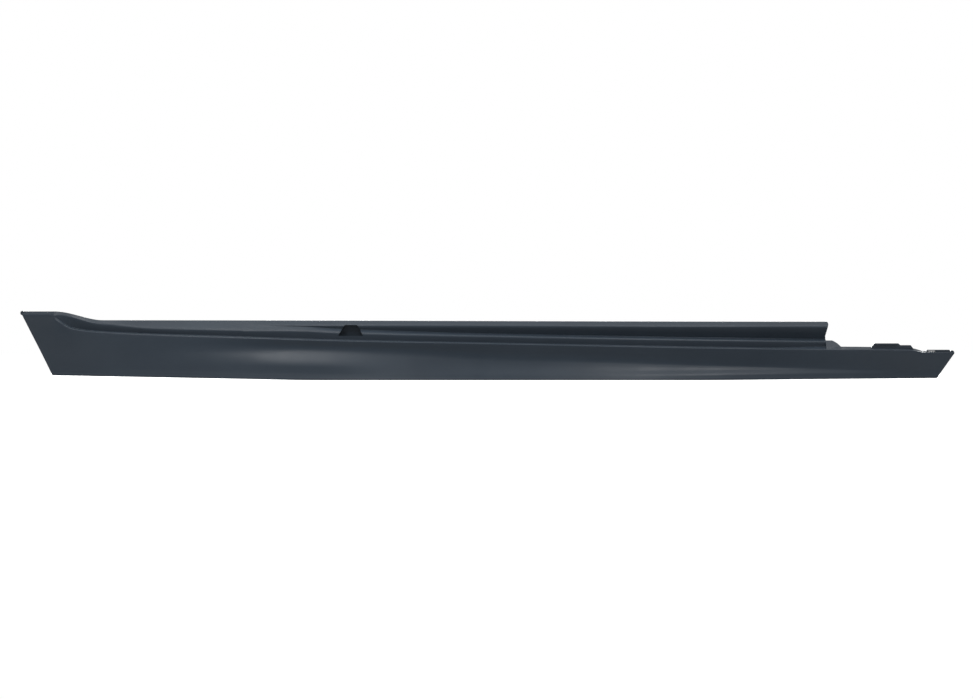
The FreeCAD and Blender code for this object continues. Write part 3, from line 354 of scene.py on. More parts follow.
def object_from(name, points, faces):
    """A closed object from points in millimetres and faces as tuples of point numbers,
    turned outwards where its signed volume says that it is inside out."""
    mesh = bpy.data.meshes.new(name)
    mesh.from_pydata(np.asarray(points) * MM, [], faces)
    form = bmesh.new()
    form.from_mesh(mesh)
    inside_out = form.calc_volume(signed=True) < 0
    form.free()
    if inside_out:
        mesh.flip_normals()
    mesh.update()
    made = bpy.data.objects.new(name, mesh)
    bpy.context.scene.collection.objects.link(made)
    return made


def tube_from_rings(name, ring, x):
    """Point (i, j) is point i of the outline at station j; both ends are closed."""
    count, length = ring.shape[:2]
    points = np.concatenate([np.broadcast_to(x[None, :, None], (count, length, 1)), ring], axis=2)
    number = np.arange(count * length).reshape(count, length)
    here, there = number, np.roll(number, -1, axis=0)
    quads = np.stack([here[:, :-1], here[:, 1:], there[:, 1:], there[:, :-1]], axis=2).reshape(-1, 4)
    caps = [tuple(number[:, 0]), tuple(number[::-1, -1])]
    return object_from(name, points.reshape(-1, 3), [tuple(q) for q in quads.tolist()] + caps)


along = stations(2.6, 5.2, 3.0)
skin = tube_from_rings("skirt_moulding", wall_ring(along), along)
coarse = stations(5.0, 20.0, 8.0)
core = tube_from_rings("core", core_ring(coarse), coarse)
print("skin faces:", len(skin.data.polygons), " core faces:", len(core.data.polygons))

# %% [markdown]
# ## Joining and cutting solids
# The openings, ribs and seats are simple blocks. A boolean modifier joins them to
# the wall or cuts them from it, and the result is stored as a plain mesh, so that
# nothing depends on the tools afterwards.


# %% Booleans that leave a plain mesh
def settled(thing):
    """The object with its modifiers applied to its mesh, and no modifier left."""
    mesh = bpy.data.meshes.new_from_object(thing.evaluated_get(bpy.context.evaluated_depsgraph_get()))
    old = thing.data
    thing.modifiers.clear()
    thing.data = mesh
    bpy.data.meshes.remove(old)
    return thing


def combine(base, operation, tools):
    """base joined with, cut by or limited to each tool in turn; the tools are used up."""
    for tool in tools:
        step = base.modifiers.new("step", "BOOLEAN")
        step.operation = operation
        step.solver = "MANIFOLD"
        step.object = tool
    settled(base)
    for tool in tools:
        bpy.data.objects.remove(tool)
    return base


def round_edges(thing, width, segments=2):
    """A bevel on every edge that turns by more than 30 degrees, applied at once."""
    bevel = thing.modifiers.new("bevel", "BEVEL")
    bevel.width = width * MM
    bevel.segments = segments
    bevel.limit_method = "ANGLE"
    return settled(thing)


print("booleans ready")


# %% Blocks, prisms and turned shapes
def prism_faces(count):
    """Sides and both ends of a prism: count points at one end, then count at the other."""
    sides = [(i, (i + 1) % count, (i + 1) % count + count, i + count) for i in range(count)]
    return sides + [tuple(range(count))[::-1], tuple(range(count, 2 * count))]


def prism(name, outline, start, end, lying="xz", soften=0.0):
    """The flat outline, lying in the named plane, pushed along the third axis from start
    to end. Its edges are rounded where soften is given."""
    count = len(outline)
    columns = {"xz": (0, 2, 1), "yz": (1, 2, 0)}[lying]
    points = np.zeros((2, count, 3))
    points[..., columns[:2]] = outline
    points[0, :, columns[2]], points[1, :, columns[2]] = start, end
    made = object_from(name, points.reshape(-1, 3), prism_faces(count))
    return round_edges(made, soften) if soften else made


def block(name, low, high, soften=0.0):
    """A box between two opposite corners."""
    outline = [(low[0], low[2]), (high[0], low[2]), (high[0], high[2]), (low[0], high[2])]
    return prism(name, outline, low[1], high[1], soften=soften)


def turned(name, profile, place, axis, count=40):
    """The profile of (radius, height) turned about an axis through place: the point at
    angle a is place + height * axis + radius * (cos a * side + sin a * other side).
    The profile starts and ends on the axis, where all its points meet in one."""
    axis = np.array(axis, float)
    side = np.cross(axis, [0.3, 0.5, 0.8])
    side /= np.linalg.norm(side)
    other = np.cross(axis, side)
    radius, height = np.array(profile, float).T
    angle = np.arange(count) * 2 * math.pi / count
    around = np.cos(angle)[:, None] * side + np.sin(angle)[:, None] * other
    rings = height[1:-1, None, None] * axis + radius[1:-1, None, None] * around[None]
    poles = height[[0, -1], None] * axis
    points = np.concatenate([rings.reshape(-1, 3), poles]) + np.array(place, float)
    number = np.arange(len(rings) * count).reshape(len(rings), count)
    ahead = np.roll(number, -1, axis=1)
    quads = np.stack([number[:-1], number[1:], ahead[1:], ahead[:-1]], axis=2).reshape(-1, 4).tolist()
    first, last = len(points) - 2, len(points) - 1
    fans = [(first, a, b) for a, b in zip(number[0].tolist(), ahead[0].tolist())]
    fans += [(last, b, a) for a, b in zip(number[-1].tolist(), ahead[-1].tolist())]
    return object_from(name, points, quads + fans)


def cylinder(name, place, axis, radius, length, count=40):
    return turned(name, [(0, 0), (radius, 0), (radius, length), (0, length)], place, axis, count)


print("blocks and turned shapes ready")

# %% [markdown]
# ## Webs and flanges behind the wall
# Two metres of thin plastic would be limp on its own. Small gussets brace the lip,
# webs tie the ledges together, and a flange closes each slanted end. They are cut
# to the hollow behind the wall, so that each one meets it all along its edge.

# %% Stiffening ribs and end flanges
DEEP = 120.0                        # half the depth of blocks that cross the whole section
RIB_PITCH, RIB_THICK = 170.0, 2.0
RIB_REACH, RIB_SLANT, RIB_HEIGHT = 22.0, 12.0, 26.0     # a gusset's depth, its slant and its height
RIB_MARGIN = 30.0                   # least distance of a gusset from an end's foot
LIP_OUT, END_FLANGE = 66.5, 3.0
END_EDGE = -22.0                    # inner edge of the end flanges


def spread(pitch, first, last):
    """Evenly spaced places on both sides of the middle, between two limits."""
    return [k * pitch for k in range(math.ceil(first / pitch), math.floor(last / pitch) + 1)]


def blade(name, foot, tangent, thickness, y_from, y_to):
    """A slab along a slanted end: its edge crosses height zero at foot and runs off by
    tangent for each millimetre of rise."""
    low, high = -20.0, FRONT_HEIGHT + 20
    outline = [(foot + tangent * low, low), (foot + tangent * low + thickness, low),
               (foot + tangent * high + thickness, high), (foot + tangent * high, high)]
    return prism(name, outline, y_from, y_to)


def lip_rib(x):
    """Gusset in the corner of lip and flange, its free edge cut off at a slant."""
    low = float(underside(np.array(x)))
    inner = -LIP_OUT + RIB_REACH
    outline = [(-DEEP, low - 5), (inner, low - 5), (inner, low + WALL + 1),
               (inner - RIB_SLANT, low + RIB_HEIGHT), (-DEEP, low + RIB_HEIGHT)]
    return prism("lip_rib", outline, x, x + RIB_THICK, lying="yz")


def rail_rib(x):
    """Upright web behind the ledges, halfway between two gussets."""
    low = float(edge_height(np.array(x))) - 10
    start = x + RIB_PITCH / 2
    return block("rail_rib", (start, -LIP_OUT - 2.5, low), (start + RIB_THICK, -5, low + RAIL_HEIGHT))


front_thick = END_FLANGE * math.hypot(1, FRONT_TAN)
rear_thick = END_FLANGE * math.hypot(1, REAR_TAN)
webs = [blade("front_flange", FRONT_FOOT, -FRONT_TAN, front_thick, -DEEP, END_EDGE),
        blade("rear_flange", REAR_FOOT - rear_thick, REAR_TAN, rear_thick, -DEEP, END_EDGE)]
webs += [lip_rib(x) for x in spread(RIB_PITCH, FRONT_FOOT + RIB_MARGIN, REAR_FOOT - RIB_MARGIN)]
webs += [rail_rib(x) for x in spread(RIB_PITCH, X_MERGE + 20, X_RAIL - 20 - RIB_PITCH / 2)]
print("webs:", len(webs))

# %% [markdown]
# ## Clip seats, notch and screw pads
# Eight seats stand behind the rail. Each is a small box, open at the top, with a
# slot into which a clip's neck slides. The notch for the jacking tool has its own
# walls, and a raised pad stiffens the flange round every screw hole.

# %% Seats, notch liner and pads
CLIP_COUNT, CLIP_PITCH, CLIP_MIDDLE, CLIP_HEIGHT = 8, 190.0, -25.0, 103.0
SEAT_WIDTH, SEAT_HEIGHT, SEAT_FACE, SEAT_PLATE, SEAT_WALL, SEAT_SLOT = 28.0, 22.0, 24.0, 2.5, 2.2, 7.6
SEAT_ROOM, DISC_THICK = 9.0, 1.6    # hollow in front of a clip's inner disc, and the disc
NOTCH_X, NOTCH_BACK = -287.5, 6.0
NOTCH_HALVES, NOTCH_HEIGHTS = (26.0, 19.0, 13.0), (93.0, 107.0, 116.0)  # at its foot, shoulders and top
SCREW_PITCH, SCREW_HOLE, PAD, PAD_RISE = 240.0, 7.0, 18.0, 1.2
SCREW_MARGIN = 60.0                 # least distance of a screw from an end's foot

clip_x = CLIP_MIDDLE + (np.arange(CLIP_COUNT) - (CLIP_COUNT - 1) / 2) * CLIP_PITCH
screw_x = spread(SCREW_PITCH, FRONT_FOOT + SCREW_MARGIN, REAR_FOOT - SCREW_MARGIN)
seat_low, seat_high = CLIP_HEIGHT - SEAT_HEIGHT / 2, CLIP_HEIGHT + SEAT_HEIGHT / 2


def notch_outline(grow):
    """Trapezoid with a shouldered top, grown outwards by a margin."""
    foot, shoulder, top = (half + grow for half in NOTCH_HALVES)
    low, middle, high = NOTCH_HEIGHTS[0] - grow, NOTCH_HEIGHTS[1], NOTCH_HEIGHTS[2] + grow
    return [(NOTCH_X - foot, low), (NOTCH_X + foot, low), (NOTCH_X + shoulder, middle),
            (NOTCH_X + top, high), (NOTCH_X - top, high), (NOTCH_X - shoulder, middle)]


def seat_root(x):
    """The part of a seat that is cut to the hollow behind the wall."""
    half = SEAT_WIDTH / 2
    return block("seat_root", (x - half, -DEEP, seat_low), (x + half, 6, seat_high))


def seat_block(x):
    """The part of a seat that stands out behind the rail, its edges rounded."""
    half = SEAT_WIDTH / 2
    return block("seat_block", (x - half, 1, seat_low), (x + half, SEAT_FACE, seat_high), soften=0.7)


def screw_pad(x):
    """Raised ring seat on the bottom flange, its rim rounded off."""
    top = float(underside(np.array(x))) + WALL + PAD_RISE
    profile = [(0, -1.5), (PAD / 2 + 0.6, -1.5), (PAD / 2 + 0.4, -0.8), (PAD / 2, -0.4), (PAD / 2 - 0.4, 0),
               (0, 0)]
    return turned("screw_pad", profile, (x, 0, top), (0, 0, 1))


webs += [seat_root(x) for x in clip_x]
webs.append(prism("notch_liner", notch_outline(WALL), -DEEP, NOTCH_BACK))
inner_parts = combine(webs[0], "UNION", webs[1:])
combine(inner_parts, "INTERSECT", [core])
combine(skin, "UNION", [inner_parts] + [seat_block(x) for x in clip_x] + [screw_pad(x) for x in screw_x])
print("skirt with its ribs and seats:", len(skin.data.polygons), "faces")

# %% [markdown]
# ## Trimming the ends and cutting the openings
# Both ends are slanted to follow the wheel arches. Behind the rail the upper part
# stops, so the wall is lower there. The notch, the screw holes, the clip seats'
# pockets and the holes under the spring nuts are cut from the whole.

# %% Outlines of what is cut away
BELOW, ABOVE, FAR = -20.0, FRONT_HEIGHT + 30, 300.0
RAIL_CORNER = 4.0                   # radius at the top of the rail's end
CAP_PAST, CAP_DOWN = 3.0, 7.0       # how far the end stands out at the top, and for how much height
LEAN_BACK, LEAN_DOWN = 6.5, 24.0    # the slant under it
PAST_REAR = X_REAR + OVERRUN + 5
NUT_PLACES = {"front_spring_nut_low": (46.0, 1), "front_spring_nut_high": (102.0, 1),
              "rear_spring_nut": (33.0, -1)}
NUT_LENGTH, NUT_COLLAR, NUT_HOLE = 17.0, 9.0, 6.5
NUT_MIDDLE = NUT_LENGTH - NUT_COLLAR / 2 - 2.5


def rear_end_outline():
    """A slanted line up to the rear tip and upright above it."""
    return [(REAR_FOOT + REAR_TAN * BELOW, BELOW), (X_REAR + FAR, BELOW), (X_REAR + FAR, ABOVE),
            (X_REAR, ABOVE), (X_REAR, TIP_HEIGHT)]


def rear_top_outline():
    """Everything above the lower ledge behind the rail's slanted end."""
    top = float(top_edge(np.array(X_RAIL)))
    x = np.array([X_RAIL - 1.5, PLACES["behind"], PLACES["step"], X_REAR - 80, PLACES["tip"], PAST_REAR])
    floor = edge_height(x) + shelf_rise(x) + 1.0
    cap = X_RAIL + CAP_PAST
    start, high = cap - RAIL_CORNER, top - RAIL_CORNER
    angle = np.linspace(math.pi / 2, 0, 7)
    corner = [(start + RAIL_CORNER * math.cos(a), high + RAIL_CORNER * math.sin(a)) for a in angle]
    slant = [(cap, top - CAP_DOWN), (cap - LEAN_BACK, top - CAP_DOWN - LEAN_DOWN)]
    return [(start, ABOVE)] + corner + slant + list(zip(x.tolist(), floor.tolist())) + [(PAST_REAR, ABOVE)]


def nut_frame(height, side):
    """Place and axes of a spring nut: square to the end flange into the skirt, then along
    the flange towards the face, with the third axis up along the slant."""
    tangent, foot = (FRONT_TAN, FRONT_FOOT) if side > 0 else (REAR_TAN, REAR_FOOT)
    lean = math.atan(tangent)
    place = np.array([foot - side * height * tangent, END_EDGE, height])
    inwards = np.array([side * math.cos(lean), 0, math.sin(lean)])
    upwards = np.array([-side * math.sin(lean), 0, math.cos(lean)])
    return place, inwards, np.array([0.0, -1.0, 0.0]), upwards


def nut_hole(height, side):
    place, inwards, outwards, upwards = nut_frame(height, side)
    return cylinder("nut_hole", place + outwards * NUT_MIDDLE - 3 * inwards, inwards, NUT_HOLE / 2, 9)


print("nut frames:", nut_frame(46.0, 1)[0].round(2))


# %% Cut the openings
def seat_pocket(x):
    """Hollow of a clip seat, open at the top."""
    half, depth = SEAT_WIDTH / 2 - SEAT_WALL, SEAT_FACE - SEAT_PLATE
    return block("seat_pocket", (x - half, depth - DISC_THICK - SEAT_ROOM, seat_low + SEAT_WALL),
                 (x + half, depth, seat_high + SEAT_WALL + 3), soften=0.5)


def seat_slot(x):
    """Slot for the clip's neck: straight sides and a round end."""
    half = SEAT_SLOT / 2
    angle = np.linspace(math.pi, 2 * math.pi, 17)
    outline = [(x + half * math.cos(a), CLIP_HEIGHT + half * math.sin(a)) for a in angle]
    outline += [(x + half + 1.2, seat_high + 4), (x - half - 1.2, seat_high + 4)]
    return prism("seat_slot", outline, SEAT_FACE - SEAT_PLATE - 1, SEAT_FACE + 2)


def screw_hole(x):
    return cylinder("screw_hole", (x, 0, float(underside(np.array(x))) - 3), (0, 0, 1), SCREW_HOLE / 2, 12)


cuts = [prism("notch", notch_outline(0), -DEEP, NOTCH_BACK - WALL),
        blade("front_end", FRONT_FOOT - FAR, -FRONT_TAN, FAR, -DEEP, DEEP),
        prism("rear_end", rear_end_outline(), -DEEP, DEEP),
        prism("rear_top", rear_top_outline(), -DEEP, DEEP)]
cuts += [seat_pocket(x) for x in clip_x] + [seat_slot(x) for x in clip_x]
cuts += [screw_hole(x) for x in screw_x] + [nut_hole(*place) for place in NUT_PLACES.values()]
combine(skin, "DIFFERENCE", cuts)
print("trimmed skirt:", len(skin.data.polygons), "faces, cut by", len(cuts), "shapes")

# %% [markdown]
# ## The low rear part
# Behind the rail a curved web slopes down to the main face. A raised tab with a
# shallow pocket and a lower step, and a thin strap over a gap, hook the skirt to the
# car's rear quarter, and a small round ear sits at each tip.

# %% Curved web behind the rail
RAMP_START, RAMP_LENGTH, RAMP_HEIGHT = 4.0, 28.0, 19.0
RAMP_CROWN, RAMP_BEND = 0.42, 0.76  # shares of its length: where it starts to fall, and halfway down


def arc_points(start, middle, end, count=14):
    """Parabola through start, middle and end, at even steps of its parameter."""
    start, middle, end = (np.array(p, float) for p in (start, middle, end))
    pull = 2 * middle - (start + end) / 2
    t = np.linspace(0, 1, count)[:, None]
    return [tuple(p) for p in ((1 - t) ** 2 * start + 2 * t * (1 - t) * pull + t ** 2 * end).tolist()]


def ramp():
    """Web that closes the rail's end: level at first, then bent down to the face."""
    start, end = X_RAIL - RAMP_START, X_RAIL + RAMP_LENGTH
    low = float(edge_height(np.array(X_RAIL)))
    high, foot = low + RAMP_HEIGHT, float(edge_height(np.array(end)) + shelf_rise(np.array(end))) - 1
    crown = (mix(start, end, RAMP_CROWN), high)
    bend = (mix(start, end, RAMP_BEND), mix(foot, high, 0.56))
    outline = [(start, foot - 3), (start, high)] + arc_points(crown, bend, (end, foot)) + [(end, foot - 3)]
    across = prism("ramp", outline, -DEEP, DEEP)
    slope = [(-48, low), (-24, high + 1), (-20.5, high + 1), (-20.5, low)]
    return combine(across, "INTERSECT", [prism("slope", slope, start, end, lying="yz")])


rear_parts = [ramp()]
print("curved web:", len(rear_parts[0].data.polygons), "faces")

# %% Raised tab and strap
TAB_OUT = 45.0                      # outer side of tab and strap, outwards from the row of screws
TAB_FRONT, TAB_LENGTH, TAB_STEP = 174.0, 61.0, 27.0
TAB_RISE, STEP_RISE, TAB_DEPTH = 13.5, 9.8, 14.0
TAB_SLANT, TAB_FALL = 7.0, 4.0      # lengths of the slants at its front and before its lower step
POCKET_START, POCKET_END, POCKET_LOW, POCKET_HIGH, POCKET_DEPTH = 8.0, 54.0, 8.6, 4.2, 1.2
STRAP_FRONT, STRAP_REAR, STRAP_RISE, STRAP_WIDTH = 58.0, 7.5, 5.4, 10.0
STRAP_THICK, STRAP_POST, STRAP_GAP, STRAP_CUT = 2.2, 2.5, 16.0, 3.0


def tab():
    """Hook behind the face's edge: wall, top and lower step, with a shallow pocket."""
    start = X_REAR - TAB_FRONT
    middle = start + TAB_LENGTH
    end = middle + TAB_STEP
    low = float(edge_height(np.array(start)))
    foot = low + SHELF_RISE_REAR - WALL
    high, step = low + TAB_RISE, low + STEP_RISE
    first, last = start + TAB_SLANT, middle - TAB_FALL
    outline = [(start, foot), (start, low + 5), (first, high), (last, high), (middle, step),
               (end - 5, step), (end + 1, low + 2), (end + 1, foot)]
    wall = prism("tab", outline, -TAB_OUT, -TAB_OUT + WALL, soften=0.5)
    roof = block("roof", (first, -TAB_OUT + 0.6, high - WALL), (last, -TAB_OUT + TAB_DEPTH, high - 0.02), 0.5)
    pocket = block("pocket", (start + POCKET_START, -TAB_OUT - 2, high - POCKET_LOW),
                   (start + POCKET_END, -TAB_OUT + POCKET_DEPTH, high - POCKET_HIGH))
    return combine(combine(wall, "UNION", [roof]), "DIFFERENCE", [pocket])


def strap():
    """Step near the tip whose front half is a thin strap over a gap."""
    start, end = X_REAR - STRAP_FRONT, X_REAR - STRAP_REAR
    post = start + STRAP_POST
    gap = post + STRAP_GAP
    low = float(edge_height(np.array(end)))
    high, foot = low + STRAP_RISE, low + SHELF_RISE - WALL + 1
    under = high - STRAP_THICK
    outline = [(start, foot), (start, high), (end - STRAP_CUT, high), (end, high - STRAP_CUT), (end, foot),
               (gap, foot), (gap, under), (post, under), (post, foot)]
    half = STRAP_WIDTH / 2
    return prism("strap", outline, -TAB_OUT - half, -TAB_OUT + half, soften=0.35)


rear_parts += [tab(), strap()]
print("rear parts:", len(rear_parts))

# %% Ears at both tips
EAR_RADIUS, EAR_WIDTH, EAR_SOFT = 4.6, 12.0, 0.5
EAR_FRONT_OUT, EAR_REAR_OUT = 44.5, 51.0        # their outer ends, outwards from the row of screws
EAR_FRONT_DOWN, EAR_REAR_UP = 3.8, 1.8          # their middles, from the block's top and the rear tip


def ear(name, x, y, z):
    """Round ear with rounded rims, lying along Y."""
    rim = EAR_RADIUS - EAR_SOFT
    profile = [(0, 0), (rim, 0), (EAR_RADIUS, EAR_SOFT), (EAR_RADIUS, EAR_WIDTH - EAR_SOFT), (rim, EAR_WIDTH),
               (0, EAR_WIDTH)]
    return turned(name, profile, (x, y, z), (0, 1, 0))


ears = [ear("front_ear", X_FRONT + EAR_RADIUS, -EAR_FRONT_OUT, FRONT_HEIGHT - EAR_FRONT_DOWN),
        ear("rear_ear", X_REAR - EAR_RADIUS, -EAR_REAR_OUT, TIP_HEIGHT + EAR_REAR_UP)]
combine(skin, "UNION", rear_parts + ears)
print("complete skirt:", len(skin.data.polygons), "faces")

# %% [markdown]
# ## Smooth faces and crisp edges
# The curved faces are shaded smooth, while the trimmed edges and the ribs' corners
# stay crisp. An edge counts as crisp where its two faces turn by more than a limit.

# %% Shading
CRISP = math.radians(28)


def shade(thing, limit=CRISP):
    """Smooth shading with the edges past the limit left sharp."""
    thing.data.shade_smooth()
    thing.data.set_sharp_from_angle(angle=limit)
    return thing


shade(skin)
triangles = sum(len(face.vertices) - 2 for face in skin.data.polygons)
print("skirt triangles:", triangles)

# %% [markdown]
# ## Clips and spring nuts
# The skirt brings its own fixings. Each clip is a nylon fir tree: two discs grip the
# seat's plate, and soft barbs hold in the car's sill. A spring nut is a strip of
# zinc-plated steel folded over the flange's edge, with a threaded collar.

# %% Fir-tree clips
CLIP_REACH, CLIP_STEM, CLIP_NECK, CLIP_DISC = 15.0, 2.8, 3.5, 8.0
BARB = 4.5


def clip_profile():
    """Radius and height from the seat's plate to the tip: disc, neck, disc, stem, three
    saw-tooth barbs and a blunt cone."""
    start = DISC_THICK + SEAT_PLATE
    discs = [(0, 0.5), (2.2, 0.5), (2.8, 0), (CLIP_DISC - 0.4, 0), (CLIP_DISC, 0.4),
             (CLIP_DISC, DISC_THICK - 0.3), (CLIP_DISC - 0.3, DISC_THICK), (CLIP_NECK, DISC_THICK),
             (CLIP_NECK, start), (CLIP_DISC - 0.3, start), (CLIP_DISC, start + 0.4),
             (CLIP_DISC - 0.5, start + 1.2), (CLIP_STEM + 1.0, start + DISC_THICK)]
    base = start + DISC_THICK
    barbs = []
    for share, reach in ((0.16, BARB), (0.38, BARB - 0.2), (0.60, BARB - 0.7)):
        low = base + share * CLIP_REACH
        barbs += [(CLIP_STEM - 0.5, low), (reach - 0.2, low - 0.3), (reach, low + 0.2),
                  (CLIP_STEM - 0.3, low + 0.19 * CLIP_REACH)]
    tip = base + CLIP_REACH
    return discs + barbs + [(1.9, tip - 1.8), (1.2, tip - 0.3), (0.8, tip), (0, tip)]


def fir_tree_clip(number, x):
    """One clip along +Y from behind its seat's plate, with two flats cut along its stem."""
    start = SEAT_FACE - SEAT_PLATE - DISC_THICK
    made = turned(f"fir_tree_clip_{number}", clip_profile(), (x, start, CLIP_HEIGHT), (0, 1, 0), 48)
    tip = SEAT_FACE + DISC_THICK
    start, end = tip + 1.2, tip + CLIP_REACH + 2
    flats = [block("flat", (x + a, start, CLIP_HEIGHT - 9), (x + b, end, CLIP_HEIGHT + 9))
             for a, b in ((2.1, 9), (-9, -2.1))]
    return shade(combine(made, "DIFFERENCE", flats))


clips = [fir_tree_clip(i + 1, x) for i, x in enumerate(clip_x)]
print("clips:", len(clips), "faces each:", len(clips[0].data.polygons))

# %% Spring nuts
NUT_SHEET, NUT_PLAY, NUT_WIDTH, NUT_RISE, THREAD_PITCH = 0.8, 0.05, 14.0, 3.0, 1.25
NUT_BORE = 2.4


def placed(points, frame_axes):
    """Local points, inwards along X, outwards along Y and upwards along Z, in the skirt."""
    place, inwards, outwards, upwards = frame_axes
    points = np.asarray(points, float)
    return (place + points[..., :1] * inwards + points[..., 1:2] * outwards + points[..., 2:] * upwards)


def folded_strip(name, axes):
    """The sheet folded round the flange's inner edge. Its middle line is two straight legs
    joined by a half circle, and the sheet lies half its thickness to each side of it."""
    radius = (END_FLANGE + 2 * NUT_PLAY + NUT_SHEET) / 2
    angle = np.linspace(-math.pi / 2, math.pi / 2, 13)
    bend = np.stack([END_FLANGE / 2 + radius * np.sin(angle), -0.15 - 0.45 * np.cos(angle) * radius], axis=1)
    leg = END_FLANGE / 2 - radius
    lead = np.array([[leg - 0.5, NUT_LENGTH], [leg, NUT_LENGTH - 2.5]])
    line = np.concatenate([lead, bend, lead[::-1] * [-1, 1] + [END_FLANGE, 0]])
    along_line = np.gradient(line, axis=0)
    along_line /= np.linalg.norm(along_line, axis=1, keepdims=True)
    normal = np.stack([-along_line[:, 1], along_line[:, 0]], axis=1) * NUT_SHEET / 2
    outline = np.concatenate([line + normal, (line - normal)[::-1]])
    count = len(outline)
    ends = [np.column_stack([outline, np.full(count, z)]) for z in (-NUT_WIDTH / 2, NUT_WIDTH / 2)]
    return object_from(name, placed(np.concatenate(ends), axes), prism_faces(count))


def threaded_collar(axes, turns_shown=48, rows=40):
    """Closed tube: the outside has rounded rims, and the bore's radius is a saw-tooth of
    height / pitch minus angle / turn, which is a screw thread."""
    start, end = NUT_PLAY - 0.1 - NUT_SHEET, END_FLANGE + NUT_PLAY + NUT_SHEET + NUT_RISE
    angle = np.arange(turns_shown) * 2 * math.pi / turns_shown
    height = np.linspace(end, END_FLANGE + NUT_PLAY, rows)
    phase = (height[:, None] / THREAD_PITCH - angle[None] / (2 * math.pi)) % 1
    fade = np.clip(np.minimum(height - height[-1], end - height) / 0.6, 0, 1)[:, None]
    inner = NUT_BORE + 0.32 * fade * (np.abs(2 * phase - 1) - 0.2)
    outer_radius = np.array([NUT_COLLAR / 2 + 1.2, NUT_COLLAR / 2 + 0.3, NUT_COLLAR / 2, NUT_COLLAR / 2,
                             NUT_COLLAR / 2 - 0.4])
    outer_height = np.array([height[-1], END_FLANGE + NUT_PLAY + NUT_SHEET + 0.2,
                             END_FLANGE + NUT_PLAY + NUT_SHEET + 0.8, end - 0.4, end])
    radius = np.concatenate([np.broadcast_to(outer_radius[:, None], (5, turns_shown)), inner])
    level = np.concatenate([outer_height, height])
    grid = np.stack([np.broadcast_to(level[:, None], radius.shape),
                     NUT_MIDDLE + radius * np.cos(angle), radius * np.sin(angle)], axis=2)
    number = np.arange(radius.size).reshape(radius.shape)
    below, ahead = np.roll(number, -1, axis=0), np.roll(number, -1, axis=1)
    quads = np.stack([number, below, np.roll(below, -1, axis=1), ahead], axis=2).reshape(-1, 4).tolist()
    return object_from("collar", placed(grid.reshape(-1, 3), axes), quads)


def spring_nut(name, height, side):
    """Strip, collar and the screw's hole through both legs."""
    axes = nut_frame(height, side)
    strip = folded_strip(name, axes)
    place, inwards, outwards, upwards = axes
    hole = cylinder("hole", place + outwards * NUT_MIDDLE - 4 * inwards, inwards, NUT_BORE + 0.3, 14)
    combine(strip, "DIFFERENCE", [hole])
    combine(strip, "UNION", [threaded_collar(axes)])
    return shade(round_edges(strip, 0.12))


nuts = {name: spring_nut(name + "_visual", *place) for name, place in NUT_PLACES.items()}
print("spring nuts:", sorted(nuts))

# %% [markdown]
# ## Finishes
# The moulding is matte black plastic with a faint cool cast. Its gloss comes from a
# fine even grain, which is a bump of small noise, and its roughness varies a little
# where it was handled. Nylon is milky and slightly soft, and the nuts are plated.


# %% Material helpers
def new_material(name, colour, roughness, metallic=0.0):
    """A named material with the numbers that are the same all over its surface."""
    made = bpy.data.materials.new(name)
    made.use_nodes = True
    shader = made.node_tree.nodes["Principled BSDF"]
    shader.inputs["Base Color"].default_value = (*colour, 1)
    shader.inputs["Roughness"].default_value = roughness
    shader.inputs["Metallic"].default_value = metallic
    return made, shader


def add_node(material, kind, source, entry, **numbers):
    """A new node of a kind, fed at its entry by a source, with its other inputs set."""
    made = material.node_tree.nodes.new(kind)
    material.node_tree.links.new(source, made.inputs[entry])
    for name, value in numbers.items():
        made.inputs[name.replace("_", " ")].default_value = value
    return made


def noise(material, scale, detail):
    """Noise over the object's own coordinates, scale in cycles for each metre."""
    place = material.node_tree.nodes.new("ShaderNodeTexCoord").outputs["Object"]
    made = add_node(material, "ShaderNodeTexNoise", place, "Vector", Scale=scale, Detail=detail)
    return made.outputs["Fac"]


def spread_between(material, source, low, high):
    """A number between low and high where the noise runs over its usual middle range."""
    return add_node(material, "ShaderNodeMapRange", source, "Value", From_Min=0.3, From_Max=0.7,
                    To_Min=low, To_Max=high).outputs["Result"]


def colour_between(material, source, low, high):
    """A colour between two, following the noise."""
    made = add_node(material, "ShaderNodeValToRGB", source, "Fac")
    for element, position, colour in zip(made.color_ramp.elements, (0.3, 0.7), (low, high)):
        element.position, element.color = position, (*colour, 1)
    return made.outputs["Color"]


def grain(material, source, depth, strength):
    """A bump whose relief is depth in millimetres."""
    return add_node(material, "ShaderNodeBump", source, "Height", Strength=strength,
                    Distance=depth * MM).outputs["Normal"]


def finish(name, cloud, colours, gloss_cloud, gloss, grit, relief, metallic=0.0):
    """Colour and roughness each run between two values by a noise of their own, and a
    third, fine noise is the grain. Each noise is a scale and how many finer ones it adds."""
    middle = (np.array(colours[0]) + np.array(colours[1])) / 2
    made, shader = new_material(name, middle, sum(gloss) / 2, metallic)
    links = made.node_tree.links
    links.new(colour_between(made, noise(made, *cloud), *colours), shader.inputs["Base Color"])
    links.new(spread_between(made, noise(made, *gloss_cloud), *gloss), shader.inputs["Roughness"])
    links.new(grain(made, noise(made, *grit), *relief), shader.inputs["Normal"])
    return made, shader


print("material helpers ready")


# %% Black plastic
def black_plastic():
    """Grained polypropylene: cool black, satin, with faint cloudy differences in gloss."""
    colours = (0.0165, 0.0230, 0.0315), (0.0195, 0.0270, 0.0365)
    made, shader = finish("black_polypropylene", (9.0, 5.0), colours, (23.0, 6.0), (0.33, 0.40),
                          (1900.0, 2.0), (0.02, 0.35))
    shader.inputs["Specular IOR Level"].default_value = 0.11
    return made


plastic = black_plastic()
print("made", plastic.name)


